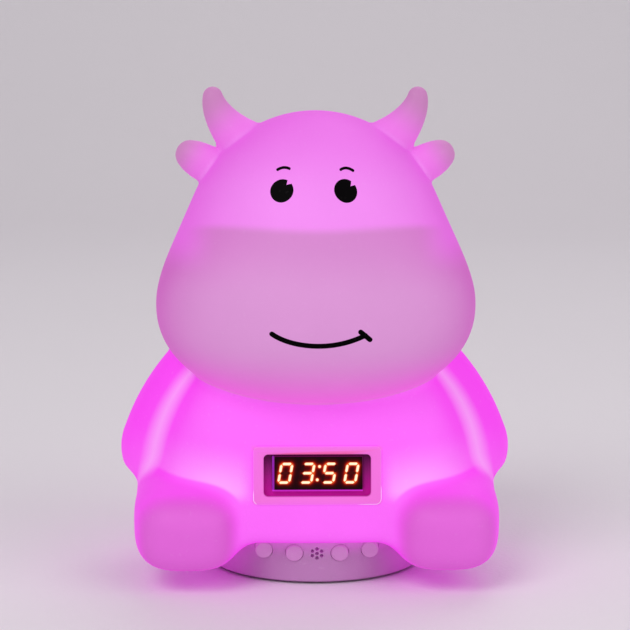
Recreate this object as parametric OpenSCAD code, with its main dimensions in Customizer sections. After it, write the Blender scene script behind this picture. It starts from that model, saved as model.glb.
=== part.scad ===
// Bedside night light and alarm clock: a hollow silicone animal that sits on a round plastic base.
// Millimetres. +Z is up, the front faces -Y, and the origin is on the table under the base's axis.

/* [Base] */
// Outer radius of the base at its lower edge
base_r = 37.3; // [35:0.1:42]
// Lean of the base's side wall, in degrees
base_lean = 11; // [8:1:14]
// Height of the visible band of the base
band_h = 14.7; // [14:0.1:17]
// Thickness of the base's walls
base_wall = 2; // [1.6:0.1:2.4]
// Thickness of the base's deck
deck_t = 2; // [1.6:0.1:3]
// Height of the groove that holds the silicone's lip
groove_h = 3; // [2.5:0.1:4]
// How far the groove goes in from the top of the band
groove_depth = 3.7; // [3:0.1:4.5]
// How far the deck's edge grips over the silicone's lip
lip_grip = 2.5; // [1.5:0.1:3]
// Thickness of the bottom cover
cover_t = 2; // [1.6:0.1:2.6]
// Radius of the anti-slip pad
pad_r = 32; // [28:0.5:34]
// Thickness of the anti-slip pad
pad_t = 1.2; // [0.8:0.1:2]
// How far the anti-slip pad stands out of the bottom cover
pad_proud = 0.8; // [0.5:0.1:1.2]

/* [Case screws] */
// Distance of the case screws from the axis
case_screw_ring = 30.3; // [29.5:0.1:30.8]
// Angle of the case screws from the sides, in degrees
case_screw_angle = 35; // [30:1:38]
// Radius of the case screws' shanks
case_screw_r = 1.1; // [0.9:0.05:1.3]
// Length of the case screws' shanks
case_screw_l = 6.5; // [5:0.5:8]
// Radius of the screw bosses
boss_r = 3; // [2.6:0.1:3.2]

/* [Buttons] */
// Diameter of a button cap
button_d = 5.8; // [5:0.1:6.4]
// Height of the buttons' axes below the top of the band
button_drop = 4.3; // [4:0.1:5]
// Distance of the inner buttons from the middle
button_near_x = 7.6; // [7.4:0.1:8.2]
// Distance of the outer buttons from the middle
button_far_x = 17.85; // [16.5:0.05:18.5]
// How far a cap stands out of the wall beside it
button_proud = 0.6; // [0.3:0.1:1]
// Travel of a button
button_travel = 0.5; // [0.25:0.05:0.6]
// Thickness of a cap's retaining flange
flange_t = 1; // [0.8:0.1:1.4]
// Length of the stem between flange and switch
stem_l = 1.2; // [1.1:0.1:1.8]
// Height of a push switch's case
switch_h = 3.5; // [3.2:0.1:4]
// Width of a push switch's case
switch_w = 5.2; // [4.8:0.1:5.4]

/* [Grille] */
// Diameter of a sound hole
hole_d = 1.1; // [0.8:0.05:1.3]
// Distance from the middle hole to those around it
hole_pitch = 1.8; // [1.6:0.05:2.2]
// Number of holes around the middle one
hole_count = 6; // [5:1:6]
// Diameter of the buzzer
buzzer_d = 8.2; // [7:0.1:8.4]
// Depth of the buzzer
buzzer_h = 4.1; // [3.4:0.1:4.2]

/* [Boards] */
// Thickness of the printed circuit boards
pcb_t = 1.6; // [1.2:0.1:1.8]
// Width of the main board
main_w = 40; // [38:0.5:41]
// Front edge of the main board
main_front = 17; // [15:0.5:18]
// Back edge of the main board
main_back = 29; // [27:0.5:29.5]
// Height of the posts that carry the main board
post_h = 2.2; // [1.8:0.1:2.6]
// Length of the button board
button_board_l = 49.4; // [49:0.1:49.6]

/* [Battery] */
// Length of the pouch cell
cell_l = 38; // [34:0.5:40]
// Width of the pouch cell
cell_w = 30; // [26:0.5:30.5]
// Thickness of the pouch cell
cell_t = 6.6; // [5:0.1:7]
// Thickness of the foam tape that holds the cell
tape_t = 0.8; // [0.5:0.1:1]

/* [Socket and switch] */
// Width of the charging socket's shell
usb_w = 8.9; // [8.8:0.05:9.1]
// Height of the charging socket's shell
usb_h = 3.2; // [3.1:0.05:3.3]
// Length of the charging socket's shell
usb_l = 7.3; // [7:0.1:8]
// Travel of the power slider
slider_travel = 2; // [1.5:0.1:2.4]
// Place of the power switch beside the middle
slider_x = 13.2; // [12.8:0.1:13.6]

/* [Lamp] */
// Outer radius of the lamp dome
dome_r = 27; // [26:0.5:29]
// Height of the lamp dome
dome_h = 42; // [38:0.5:48]
// Radius of the dome's top edge
dome_round = 12; // [8:0.5:16]
// Thickness of the lamp dome
dome_wall = 1.6; // [1.4:0.1:2]
// Radius of the light board
light_board_r = 18; // [17:0.5:20]
// Height of the light board over the deck
light_board_h = 20; // [16:0.5:24]
// Number of light chips in the ring
chip_count = 10; // [6:1:12]
// Distance of the light chips from the axis
chip_ring = 13.5; // [12:0.5:15]

/* [Display] */
// Height of the display's middle over the table
display_z = 39; // [37.6:0.2:41]
// Distance of the pad's face in front of the base's axis
display_y = 44.6; // [44.2:0.1:45.5]
// Backward tilt of the display, in degrees
display_tilt = 6; // [3:1:8]
// Width of the display's case
case_w = 30; // [28.5:0.1:31]
// Height of the display's case
case_h = 11.5; // [11:0.1:12]
// Depth of the display's case
case_d = 6.2; // [5.6:0.1:7]
// How deep the case sits behind the pad's face
case_recess = 1.2; // [0.8:0.1:1.6]
// Height of a digit
digit_h = 7.1; // [6.4:0.1:7.2]
// Width of a digit
digit_w = 4.5; // [3.8:0.1:4.6]
// Distance from digit to digit
digit_pitch = 7.3; // [7:0.05:7.35]
// Width of a lit segment
segment_w = 0.95; // [0.6:0.05:1]
// Slant of the digits, in degrees
digit_slant = 10; // [6:1:10]

/* [Silicone figure] */
// Thickness of the silicone
skin_t = 2.6; // [2.2:0.1:2.7]
// Half width of the crown of the head
crown_w = 45.6; // [44:0.2:48]
// Half depth of the crown
crown_d = 43.5; // [41:0.5:45]
// Half height of the crown
crown_h = 48.3; // [47:0.1:50]
// Distance of the crown's middle in front of the base's axis
crown_y = 5.5; // [4:0.5:7]
// Height of the crown's middle
crown_z = 109.6; // [107:0.2:111]
// Half width of the muzzle
muzzle_w = 54.3; // [52:0.1:56]
// Half height of the muzzle
muzzle_h = 34.4; // [33:0.2:36]
// Half depth of the muzzle
muzzle_d = 45; // [43:0.5:46]
// Distance of the muzzle's middle in front of the base's axis
muzzle_y = 16; // [14.5:0.5:17.5]
// Height of the muzzle's middle
muzzle_z = 92.8; // [91:0.2:94]
// Half width of the torso
torso_w = 44; // [42:0.5:46]
// Half depth of the torso before its front is flattened
torso_d = 56; // [54:0.5:58]
// Half height of the torso
torso_h = 54; // [52:0.5:56]
// Distance of the torso's middle in front of the base's axis
torso_y = 4; // [2:0.5:6]
// Height of the torso's middle
torso_z = 34; // [33:0.5:35]
// Height at which the belly's front turns into the chest's slope
chest_z = 57; // [55:0.5:59]
// Lean of the chest's slope, in degrees
chest_lean = 40; // [35:1:50]
// How many times deeper an arm is than it is wide
arm_depth = 1.3; // [1.2:0.05:1.4]
// Swell of an arm between shoulder and hand
arm_swell = 1.4; // [0.5:0.1:2]
// Distance of a hand's middle from the figure's middle
hand_x = 50.2; // [48:0.2:51]
// Height of a hand's middle
hand_z = 41.6; // [40:0.2:43]
// Radius of a hand
hand_r = 19; // [18:0.2:20]
// Distance of a shoulder's middle from the figure's middle
shoulder_x = 37.8; // [36:0.2:39]
// Height of a shoulder's middle
shoulder_z = 67; // [65:0.5:69]
// Radius of a shoulder
shoulder_r = 15.2; // [14:0.2:16]
// Distance of a foot's middle from the figure's middle
foot_x = 43.2; // [42:0.2:44.5]
// Distance of a foot's middle in front of the base's axis
foot_y = 25; // [24:0.5:27]
// Half length of a leg with its foot
foot_l = 31; // [29:0.5:32]
// Half width of a foot
foot_w = 18.4; // [17:0.2:19]
// Half height of a foot
foot_h = 15; // [14.5:0.1:15.5]
// Rise of the legs from the toes to the hips, in degrees
foot_rise = 6; // [4:0.5:8]
// Height of a foot's middle over the table
foot_z = 22.2; // [21:0.1:23]
// How far the pad around the display stands out of the belly
patch_proud = 0.5; // [0.3:0.1:0.8]
// Width of the flat pad around the display
patch_w = 42.5; // [41.5:0.1:43]
// Height of that pad
patch_h = 19.4; // [19.2:0.1:20]
// Width of the window in the pad
window_w = 35.5; // [34.5:0.1:36]
// Height of the window
window_h = 14; // [13.6:0.1:14.6]

/* [Hidden] */
$fn = 48;

// Clearances: between fixed parts, around sliding parts, and a cut's reach past a face
fit = 0.15;
slide_gap = 0.2;
past = 1;

// How far a boss, post or rib is rooted in what carries it, and play around a screw and its head
rooted = 0.5;
shank_play = 0.2;
head_play = 0.3;

// Heights of the base, from the table up
cover_z = pad_proud;
inside_z = cover_z + cover_t;
band_z = cover_z + band_h;
ceiling_z = band_z + groove_h;
deck_z = ceiling_z + deck_t;
ledge_t = 2;

// Radius of the leaning wall at a height over the table
function wall_r(z) = base_r + (z - cover_z) * tan(base_lean);
groove_r = wall_r(band_z) - groove_depth;
grip_r = groove_r + lip_grip;
hollow_r = groove_r - base_wall;
case_screw_places = [for (a = [case_screw_angle, 180 - case_screw_angle, 180 + case_screw_angle,
    -case_screw_angle]) case_screw_ring * [cos(a), sin(a)]];
case_head_sink = 0.95;
thread_gap = 0.02;
boss_pilot = case_screw_r + thread_gap;
pilot_spare = 1.5;
base_gap = 0.8;

// Screws: head radius and height for a shank radius
function head_r(r) = 2 * r;
function head_h(r) = 0.85 * r;

// Front of the base, square to its leaning wall at the buttons' height
button_z = band_z - button_drop;
front_r = wall_r(button_z);
button_r = button_d / 2;
guide_wall = 1.1;
guide_r = button_r + slide_gap + guide_wall;
flange_step = 0.7;
cap_flange_r = button_r + flange_step;
function wall_sag(x, r) = front_r - sqrt(r * r - x * x);
guide_past_wall = 0.8;
guide_end = wall_sag(button_far_x + guide_r, front_r - base_wall) + guide_past_wall;
flange_gap = 0.05;
flange_from = guide_end + flange_gap;
plunger_from = flange_from + flange_t + stem_l;
stem_r = 1.5;
plunger_r = 1.7;
plunger_l = 2.4;
plunger_show = 0.7;
switch_from = plunger_from + plunger_show;
button_board_from = switch_from + switch_h;
button_board_low = 6.4;
button_board_top = 3.4;
under_deck = ceiling_z - 2 * fit - button_z;
button_board_high = min(button_board_top,
    (under_deck - (button_board_from + pcb_t) * sin(base_lean)) / cos(base_lean));
button_places = [["far_left", -button_far_x], ["near_left", -button_near_x],
    ["near_right", button_near_x], ["far_right", button_far_x]];

// Screws of the button board, in the front wall's frame
button_screw_r = 0.9;
button_screw_l = 5;
button_screw_in = 2.1;
button_screw_x = button_board_l / 2 - button_screw_in;
button_screw_z = -2;
button_boss_r = 1.9;
button_boss_from = 4;
switch_leg_x = 2.2;
switch_leg_z = 2;

// Main board and what stands on it
board_z = inside_z + post_h;
board_top = board_z + pcb_t;
main_post_r = 2.3;
main_post_in = 3.5;
main_post_ahead = 8.5;
main_post_x = main_w / 2 - main_post_in;
main_post_y = [-main_front + main_post_in, main_back - main_post_ahead];
small_screw_r = 0.85;
usb_z = board_top + usb_h / 2;
usb_sunk = 1.2;
usb_mouth = wall_r(usb_z) - usb_sunk;
usb_gap = 0.35;
usb_room = 4;
tab_w = 16;
tab_short = 2.6;
tab_back = usb_mouth - tab_short;
power_w = 8.6;
power_d = 3.6;
power_h = 3.5;
power_overhang = 1.2;
power_back = main_back + power_overhang;
slider_z = board_top + power_h / 2;
slider_w = 3;
slider_tall = 2.4;
slider_guard_gap = 0.5;
slider_guard_t = 0.8;
slider_guard_from = power_back + slider_guard_gap;
slider_proud = 0.5;
slider_tip = sqrt(pow(wall_r(slider_z), 2) - pow(slider_x, 2)) + slider_proud;
lever_w = 1.6;
lever_h = 1.5;

// Pouch cell, hung under the deck
cell_left = -9;
cell_front = -18;
cell_x = [cell_left, cell_left + cell_w];
cell_y = [cell_front, cell_front + cell_l];
cell_top = ceiling_z - tape_t;

// Slot in the deck that the cables pass through: corner and size
cable_slot = [[-20, -9], [9.4, 10]];
cable_w = 4;
cable_t = 0.5;
lead_r = 0.5;

// Lamp
dome_flange_w = 5;
dome_flange_r = dome_r + dome_flange_w;
dome_flange_t = 2;
dome_screw_out = 2.6;
dome_screw_ring = dome_r + dome_screw_out;
dome_screw_angles = [0, 90, 180];
dome_screw_r = 0.95;
dome_screw_l = 5;
dome_boss_r = 2.2;
dome_boss_h = 2.4;
light_post_r = 3;
light_post_taper = 0.6;
light_post_in = 9;
light_post_ring = light_board_r - light_post_in;
light_post_angles = [30, 150, 270];
light_board_z = deck_z + light_board_h;
light_screw_bite = 4;
light_pilot = light_screw_bite + pilot_spare;

// Display, in its own tilted frame: X to the right, Y inward from the pad's face, Z up
module at_display() {
    translate([0, -display_y, display_z]) rotate([-display_tilt, 0, 0]) children();
}
// Margins of the black face within the case: top, right, bottom, left
face_margin = [0.1, 0.2, 0.55, 0.75];
case_shift = [0.1, 0.5];
holder_side = 3.6;
holder_brim = 2.6;
holder_w = case_w + 2 * holder_side;
holder_h = case_h + 2 * holder_brim;
board_step = 1;
board_seat = case_recess + case_d + board_step;
board_over = [1.7, 1.1];
display_board_w = case_w + 2 * board_over.x;
display_board_h = case_h + 2 * board_over.y;
board_room = 6.1;
holder_back = board_seat + board_room;
rim_gap = 0.1;
rim_from = board_seat + pcb_t + rim_gap;
holder_ear_w = 8;
holder_ear_h = 5;
holder_ear_t = 2;
ear_screw_z = (holder_h + holder_ear_h) / 2;
ear_screw_r = 0.95;
ear_screw_bite = 4;
neck_wall = 2;
neck_w = display_board_w + 2 * neck_wall;
neck_h = holder_h + 2 * holder_ear_h;
neck_lift = 0.5;
neck_in = 20;
neck_rim = 1.6;
cable_x = -display_board_w / 2 + neck_rim + cable_w / 2 + slide_gap;
pin_count = 6;
pin_pitch = 2.54;
pin_in = 1.2;
glyph_t = 0.3;
glyph_play = 0.01;

// ---------------------------------------------------------------- shared shapes

// Box between two corners
module block(low, high) {
    translate(low) cube(high - low);
}

// Round bar along Y, from one depth to another
module bar_y(r, from, to, fn = 48) {
    translate([0, from, 0]) rotate([-90, 0, 0]) cylinder(r = r, h = to - from, $fn = fn);
}

// Slot with round ends in the XZ plane, run along Y
module stadium_y(w, h, from, to) {
    r = h / 2;
    for (s = [-1, 1])
        translate([s * (w / 2 - r), 0, 0]) bar_y(r, from, to);
    block([-w / 2 + r, from, -r], [w / 2 - r, to, r]);
}

// Pan-head screw, head down, its shank rising from z = 0
module screw_up(r, l) {
    cylinder(r = r, h = l, $fn = 24);
    difference() {
        translate([0, 0, -head_h(r)]) cylinder(r = head_r(r), h = head_h(r), $fn = 32);
        translate([0, 0, -head_h(r)]) cross_recess(r);
    }
}

// Cross recess of a screw's head
module cross_recess(r) {
    arm_l = 2.2 * r;
    arm_w = r / 2;
    for (turn = [0, 90])
        rotate(turn) cube([arm_l, arm_w, r], center = true);
}

// Wire through a list of points: round runs with a slightly thicker ball at each bend
module wire(points, r) {
    ball = 1.06 * r;
    for (i = [0:len(points) - 2])
        let (d = points[i + 1] - points[i], l = norm(d))
            translate(points[i]) rotate([0, acos(d.z / l), atan2(d.y, d.x)])
                cylinder(r = r, h = l, $fn = 16);
    for (i = [1:len(points) - 2])
        translate(points[i]) sphere(r = ball, $fn = 16);
}

// Unit normal of the run that leaves point i, and the mitre where two runs meet
function run_normal(points, i) = let (d = points[i + 1] - points[i]) [-d.y, d.x] / norm(d);
function mitre(points, i) = let (
    before = run_normal(points, max(i - 1, 0)),
    after = run_normal(points, min(i, len(points) - 2))
) (before + after) / (1 + before * after);

// Flat cable of a width along X, through points given as [y, z]
module ribbon(points, x, w, t) {
    last = len(points) - 1;
    upper = [for (i = [0:last]) points[i] + mitre(points, i) * t / 2];
    lower = [for (i = [last:-1:0]) points[i] - mitre(points, i) * t / 2];
    translate([x - w / 2, 0, 0]) rotate([90, 0, 90]) linear_extrude(w) polygon(concat(upper, lower));
}

// Frame of the front wall at the buttons: Y runs inward, square to the leaning wall
module at_front() {
    translate([0, -front_r, button_z]) rotate([base_lean, 0, 0]) children();
}

// ---------------------------------------------------------------- silicone figure

// Soft union of two distances, rounded over the width k
function soft_min(a, b, k) = let (h = max(k - abs(a - b), 0) / k) min(a, b) - h * h * k / 4;
function soft_max(a, b, k) = -soft_min(-a, -b, k);

// Distance from a point to an ellipsoid
function egg(p, c, r) = let (
    q = [(p.x - c.x) / r.x, (p.y - c.y) / r.y, (p.z - c.z) / r.z],
    n = norm(q)
) n * (n - 1) / norm([q.x / r.x, q.y / r.y, q.z / r.z]);

// Distance out of the belly's flat front, which leans back like the display
function belly(p) = (display_y - patch_proud + p.y) * -cos(display_tilt)
    + (p.z - display_z) * sin(display_tilt);

// Distance out of the chest's slope, which leaves the belly's front just under the chin
chest_y = display_y - patch_proud - (chest_z - display_z) * tan(display_tilt);
function chest(p) = (chest_y + p.y) * -cos(chest_lean) + (p.z - chest_z) * sin(chest_lean);

// Distance to a rounded block, squarer than an egg
function rounded_block(p, c, r, power) = let (
    q = [abs(p.x - c.x) / r.x, abs(p.y - c.y) / r.y, abs(p.z - c.z) / r.z]
) (pow(pow(q.x, power) + pow(q.y, power) + pow(q.z, power), 1 / power) - 1) * min(r);

// Distance to a limb that tapers between two balls, swells between them and is deeper than wide
function limb(p, a, ra, b, rb, depth, swell) = let (
    q = [p.x - a.x, (p.y - a.y) / depth, p.z - a.z],
    d = b - a,
    t = min(max(q * d / (d * d), 0), 1)
) norm(q - t * d) - ra - (rb - ra) * t - 4 * swell * t * (1 - t);

crown = [0, -crown_y, crown_z];
crown_size = [crown_w, crown_d, crown_h];
muzzle = [0, -muzzle_y, muzzle_z];
muzzle_size = [muzzle_w, muzzle_d, muzzle_h];
torso = [0, -torso_y, torso_z];
torso_size = [torso_w, torso_d, torso_h];
arm_y = 4;
shoulder = [shoulder_x, arm_y, shoulder_z];
hand = [hand_x, arm_y, hand_z];
foot = [foot_x, -foot_y, foot_z];
foot_size = [foot_w, foot_l, foot_h];

// Widths over which neighbouring forms melt together, and how square the rounded blocks are
cheek_blend = 11;
limb_blend = 5;
belly_blend = 12;
chest_blend = 8;
muzzle_power = 2.15;
foot_power = 3;

function mirrored(p) = [abs(p.x), p.y, p.z];
function head_skin(p) = soft_min(egg(p, crown, crown_size),
    rounded_block(p, muzzle, muzzle_size, muzzle_power), cheek_blend);
function torso_skin(p) = soft_max(soft_max(egg(p, torso, torso_size), belly(p), belly_blend),
    chest(p), chest_blend);
function trunk(p) = let (q = mirrored(p))
    soft_min(torso_skin(q), limb(q, shoulder, shoulder_r, hand, hand_r, arm_depth, arm_swell), limb_blend);
lip_gap = 0.1;
seat_z = band_z + lip_gap;
lip_z = ceiling_z - lip_gap;
function trunk_skin(p) = soft_max(trunk(p), seat_z - p.z, limb_blend);
function foot_lobe(p) = let (
    q = mirrored(p) - foot,
    level = [q.x, q.y * cos(foot_rise) + q.z * sin(foot_rise), q.z * cos(foot_rise) - q.y * sin(foot_rise)]
) rounded_block(level, [0, 0, 0], foot_size, foot_power);
function foot_hollow(p, seat_r) = max(foot_lobe(p) + skin_t, seat_r + skin_t - norm([p.x, p.y]));

// Distance along a ray at which it leaves a form, found by halving
function leave(form, from, way, near, far, left) = left == 0 ? near : let (mid = (near + far) / 2)
    form(from + mid * way) < 0
        ? leave(form, from, way, mid, far, left - 1)
        : leave(form, from, way, near, mid, left - 1);

// Closed surface of a form, seen along rays from a point inside it; facets are [around, rings]
module skin(form, from, facets) {
    around = facets[0];
    rings = facets[1];
    reach = 120;
    halvings = 13;
    ways = [for (i = [1:rings - 1], j = [0:around - 1])
        let (up = 180 * i / rings - 90, turn = 360 * j / around)
            [cos(up) * cos(turn), cos(up) * sin(turn), sin(up)]];
    poles = [[0, 0, -1], [0, 0, 1]];
    points = [for (way = concat(ways, poles)) from + leave(form, from, way, 0, reach, halvings) * way];
    low = len(ways);
    last = (rings - 2) * around;
    sides = [for (i = [0:rings - 3], j = [0:around - 1])
        let (a = i * around + j, b = i * around + (j + 1) % around)
            each [[a, a + around, b], [b, a + around, b + around]]];
    caps = [for (j = [0:around - 1])
        let (k = (j + 1) % around)
            each [[low, j, k], [low + 1, last + k, last + j]]];
    polyhedron(points, concat(sides, caps), convexity = 6);
}

// Chain of balls, each hulled with the next, for a horn or an ear
module chain(balls) {
    for (i = [0:len(balls) - 2])
        hull()
            for (ball = [balls[i], balls[i + 1]])
                translate(ball[0]) sphere(r = ball[1], $fn = 24);
}

// Balls along a horn and an ear, placed from the crown's middle: [place, radius]
horn = [for (ball = [[[24.3, 0, 37.9], 8.7], [[29.8, 0, 43.1], 6.1], [[33.4, 0, 48.6], 4.6],
    [[34.8, 0, 53.3], 3.4]]) [crown + ball[0], ball[1]]];
ear = [for (ball = [[[33.9, 0, 29], 7.2], [[42.8, 0, 33.1], 5.1]]) [crown + ball[0], ball[1]]];

// Facets of each surface, [around, rings], outside and inside
head_facets = [[56, 28], [36, 18]];
trunk_facets = [[64, 28], [40, 20]];
foot_facets = [[32, 18], [20, 12]];

// Flat pad with round corners around the display, in the display's frame
module patch(w, h, r, from, to) {
    hull()
        for (x = [-1, 1], z = [-1, 1])
            translate([x * (w / 2 - r), 0, z * (h / 2 - r)]) bar_y(r, from, to, 24);
}

module silicone_cover() {
    neck = (crown + muzzle) / 2;
    heart = [0, -torso_y, hand_z];
    hollow_sole = foot + [2, -9, 0];
    recess_r = wall_r(band_z) + base_gap;
    patch_corner = 2;
    patch_root = 5;
    window_corner = 1.5;
    color([1, 0.49, 1])
        difference() {
            union() {
                skin(function(p) head_skin(p), neck, head_facets[0]);
                skin(function(p) trunk_skin(p), heart, trunk_facets[0]);
                for (side = [0, 1])
                    mirror([side, 0, 0]) {
                        chain(horn);
                        chain(ear);
                        skin(function(p) foot_lobe(p), foot, foot_facets[0]);
                    }
                at_display() patch(patch_w, patch_h, patch_corner, 0, patch_root);
            }
            skin(function(p) head_skin(p) + skin_t, neck, head_facets[1]);
            skin(function(p) max(trunk(p) + skin_t, lip_z - p.z), heart, trunk_facets[1]);
            for (side = [0, 1])
                mirror([side, 0, 0])
                    skin(function(p) foot_hollow(p, recess_r), hollow_sole, foot_facets[1]);
            translate([0, 0, -past])
                cylinder(r1 = wall_r(-past) + base_gap, r2 = recess_r, h = seat_z + past);
            cylinder(r = groove_r + fit, h = deck_z, $fn = 64);
            translate([0, 0, lip_z]) cylinder(r = grip_r + 2 * fit, h = deck_t + 2 * past, $fn = 64);
            at_display() {
                block([-holder_w / 2 - fit, skin_t, -holder_h / 2 - fit],
                    [holder_w / 2 + fit, holder_back, holder_h / 2 + fit]);
                patch(window_w, window_h, window_corner, -past, skin_t + past);
            }
        }
}

// ---------------------------------------------------------------- base

module base_housing() {
    guide_from = 1;
    button_pilot = button_screw_l - pcb_t + past;
    color([0.93, 0.93, 0.91])
        difference() {
            union() {
                base_shell();
                case_bosses();
                light_posts();
                at_front() {
                    for (place = button_places)
                        intersection() {
                            translate([place[1], 0, 0]) bar_y(guide_r, guide_from, guide_end);
                            front_room();
                        }
                    for (s = [-1, 1])
                        intersection() {
                            translate([s * button_screw_x, 0, button_screw_z])
                                bar_y(button_boss_r, button_boss_from, button_board_from);
                            front_room();
                        }
                }
                dome_screw_bosses();
            }
            at_front() {
                for (place = button_places)
                    translate([place[1], 0, 0]) {
                        bar_y(button_r + slide_gap, -past, guide_end + past);
                        bar_y(cap_flange_r + slide_gap, guide_end, switch_from);
                    }
                for (s = [-1, 1])
                    translate([s * button_screw_x, 0, button_screw_z])
                        bar_y(button_screw_r + thread_gap, button_board_from - button_pilot,
                            button_board_from + past);
                grille();
            }
            translate([0, 0, usb_z])
                stadium_y(usb_w + 2 * usb_gap, usb_h + 2 * usb_gap, hollow_r - usb_room, wall_r(band_z));
            slider_slot();
        }
}

// Everything inside the front wall's outer face, in the front frame
module front_room() {
    skin = 0.5;
    rotate([-base_lean, 0, 0]) translate([0, front_r, -button_z])
        rotate_extrude($fn = 96)
            polygon([[0, inside_z], [wall_r(inside_z) - skin, inside_z],
                [wall_r(band_z - skin) - skin, band_z - skin],
                [groove_r - skin, band_z - skin], [groove_r - skin, ceiling_z], [0, ceiling_z]]);
}

// Leaning band, groove and deck, turned as one profile
module base_shell() {
    deck_edge = 0.6;
    band_edge = 0.5;
    ledge_z = band_z - ledge_t;
    difference() {
        rotate_extrude($fn = 96)
            polygon([
                [wall_r(cover_z) - base_wall, cover_z], [wall_r(cover_z) - band_edge, cover_z],
                [wall_r(cover_z + band_edge), cover_z + band_edge],
                [wall_r(band_z - band_edge), band_z - band_edge],
                [wall_r(band_z) - band_edge, band_z], [groove_r, band_z], [groove_r, ceiling_z],
                [grip_r, ceiling_z], [grip_r, deck_z - deck_edge], [grip_r - deck_edge, deck_z],
                [0, deck_z], [0, ceiling_z], [hollow_r, ceiling_z], [hollow_r, ledge_z],
                [wall_r(ledge_z) - base_wall, ledge_z]
            ]);
        translate([cable_slot[0].x, cable_slot[0].y, ceiling_z - past])
            cube([cable_slot[1].x, cable_slot[1].y, deck_t + 2 * past]);
        for (a = dome_screw_angles)
            rotate(a) translate([dome_screw_ring, 0, ceiling_z - past])
                cylinder(r = dome_screw_r + thread_gap, h = deck_t + 2 * past, $fn = 24);
    }
}

// Four bosses that take the case screws, hanging from the deck
module case_bosses() {
    for (place = case_screw_places)
        translate([place.x, place.y, inside_z])
            difference() {
                cylinder(r = boss_r, h = ceiling_z - inside_z + rooted);
                translate([0, 0, -past])
                    cylinder(r = boss_pilot, h = case_screw_l + pilot_spare + past, $fn = 24);
            }
}

// Three short bosses under the deck for the dome's screws
module dome_screw_bosses() {
    for (a = dome_screw_angles)
        rotate(a) translate([dome_screw_ring, 0, ceiling_z - dome_boss_h])
            difference() {
                cylinder(r = dome_boss_r, h = dome_boss_h + rooted);
                translate([0, 0, -past])
                    cylinder(r = dome_screw_r + thread_gap, h = dome_boss_h + 2 * past, $fn = 24);
            }
}

// Three posts on the deck that carry the light board
module light_posts() {
    for (a = light_post_angles)
        rotate(a) translate([light_post_ring, 0, deck_z - rooted])
            difference() {
                cylinder(r1 = light_post_r + light_post_taper, r2 = light_post_r,
                    h = light_board_h + rooted);
                translate([0, 0, light_board_h + rooted - light_pilot])
                    cylinder(r = small_screw_r + thread_gap, h = light_pilot + past, $fn = 24);
            }
}

// Sound holes: one in the middle and a ring around it
module grille() {
    bar_y(hole_d / 2, -past, base_wall + past, 24);
    for (i = [0:hole_count - 1])
        rotate([0, i * 360 / hole_count, 0]) translate([hole_pitch, 0, 0])
            bar_y(hole_d / 2, -past, base_wall + past, 24);
}

// Slot in the back wall for the power slider
module slider_slot() {
    half = (slider_w + slider_travel) / 2 + slide_gap;
    tall = slider_tall / 2 + slide_gap;
    translate([slider_x, 0, slider_z])
        block([-half, slider_guard_from + 2 * slider_guard_t, -tall], [half, wall_r(band_z), tall]);
}

module bottom_cover() {
    cover_r = base_r - base_wall - fit;
    pilot_below = 0.8;
    color([0.9, 0.9, 0.88])
        difference() {
            union() {
                translate([0, 0, cover_z]) cylinder(r = cover_r, h = cover_t, $fn = 96);
                for (x = [-main_post_x, main_post_x], y = main_post_y)
                    translate([x, y, inside_z - rooted]) cylinder(r = main_post_r, h = post_h + rooted);
                stiffening_ribs();
            }
            translate([0, 0, cover_z - past])
                cylinder(r = pad_r + fit, h = pad_t - pad_proud + past, $fn = 96);
            for (place = case_screw_places)
                translate([place.x, place.y, cover_z]) {
                    cylinder(r = case_screw_r + shank_play, h = 3 * cover_t, center = true, $fn = 24);
                    cylinder(r = head_r(case_screw_r) + head_play,
                        h = 2 * (pad_t - pad_proud + case_head_sink), center = true, $fn = 32);
                }
            for (x = [-main_post_x, main_post_x], y = main_post_y)
                translate([x, y, inside_z - pilot_below])
                    cylinder(r = small_screw_r + thread_gap, h = post_h + past + pilot_below, $fn = 24);
        }
}

// Low ribs that stiffen the bottom cover between the posts
module stiffening_ribs() {
    rib_t = 1.2;
    rib_h = 1.2;
    rib_half = main_post_x - 4;
    for (y = [-6, 4, 12])
        block([-rib_half, y - rib_t / 2, inside_z - rooted], [rib_half, y + rib_t / 2, inside_z + rib_h]);
}

module anti_slip_pad() {
    screw_play = 0.5;
    color([0.75, 0.75, 0.75])
        difference() {
            cylinder(r = pad_r, h = pad_t, $fn = 96);
            for (place = case_screw_places)
                translate([place.x, place.y, 0])
                    cylinder(r = head_r(case_screw_r) + screw_play, h = 4 * pad_t, center = true, $fn = 32);
        }
}

module case_screws() {
    seat = cover_z + pad_t - pad_proud + case_head_sink;
    color([0.7, 0.7, 0.72])
        for (place = case_screw_places)
            translate([place.x, place.y, seat]) screw_up(case_screw_r, case_screw_l);
}

// ---------------------------------------------------------------- buttons

// Cap with its retaining flange and stem; x is its place along the front
module button_cap(x) {
    nearest = wall_sag(max(abs(x) - button_r, 0), front_r);
    front = nearest - button_proud;
    edge = 0.8;
    color([0.95, 0.95, 0.93])
        at_front() translate([x, 0, 0])
            rotate([-90, 0, 0]) rotate_extrude()
                polygon(concat([[0, front]],
                    [for (a = [0:15:90]) [button_r - edge + edge * sin(a), front + edge - edge * cos(a)]],
                    [[button_r, flange_from], [cap_flange_r, flange_from],
                        [cap_flange_r, flange_from + flange_t], [stem_r, flange_from + flange_t],
                        [stem_r, plunger_from], [0, plunger_from]]));
}

module button_far_left() { button_cap(-button_far_x); }
module button_near_left() { button_cap(-button_near_x); }
module button_near_right() { button_cap(button_near_x); }
module button_far_right() { button_cap(button_far_x); }

// Plunger of a push switch, which travels with the cap in front of it
module plunger(x) {
    color([0.15, 0.15, 0.15])
        at_front() translate([x, 0, 0]) bar_y(plunger_r, plunger_from, plunger_from + plunger_l);
}

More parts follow.
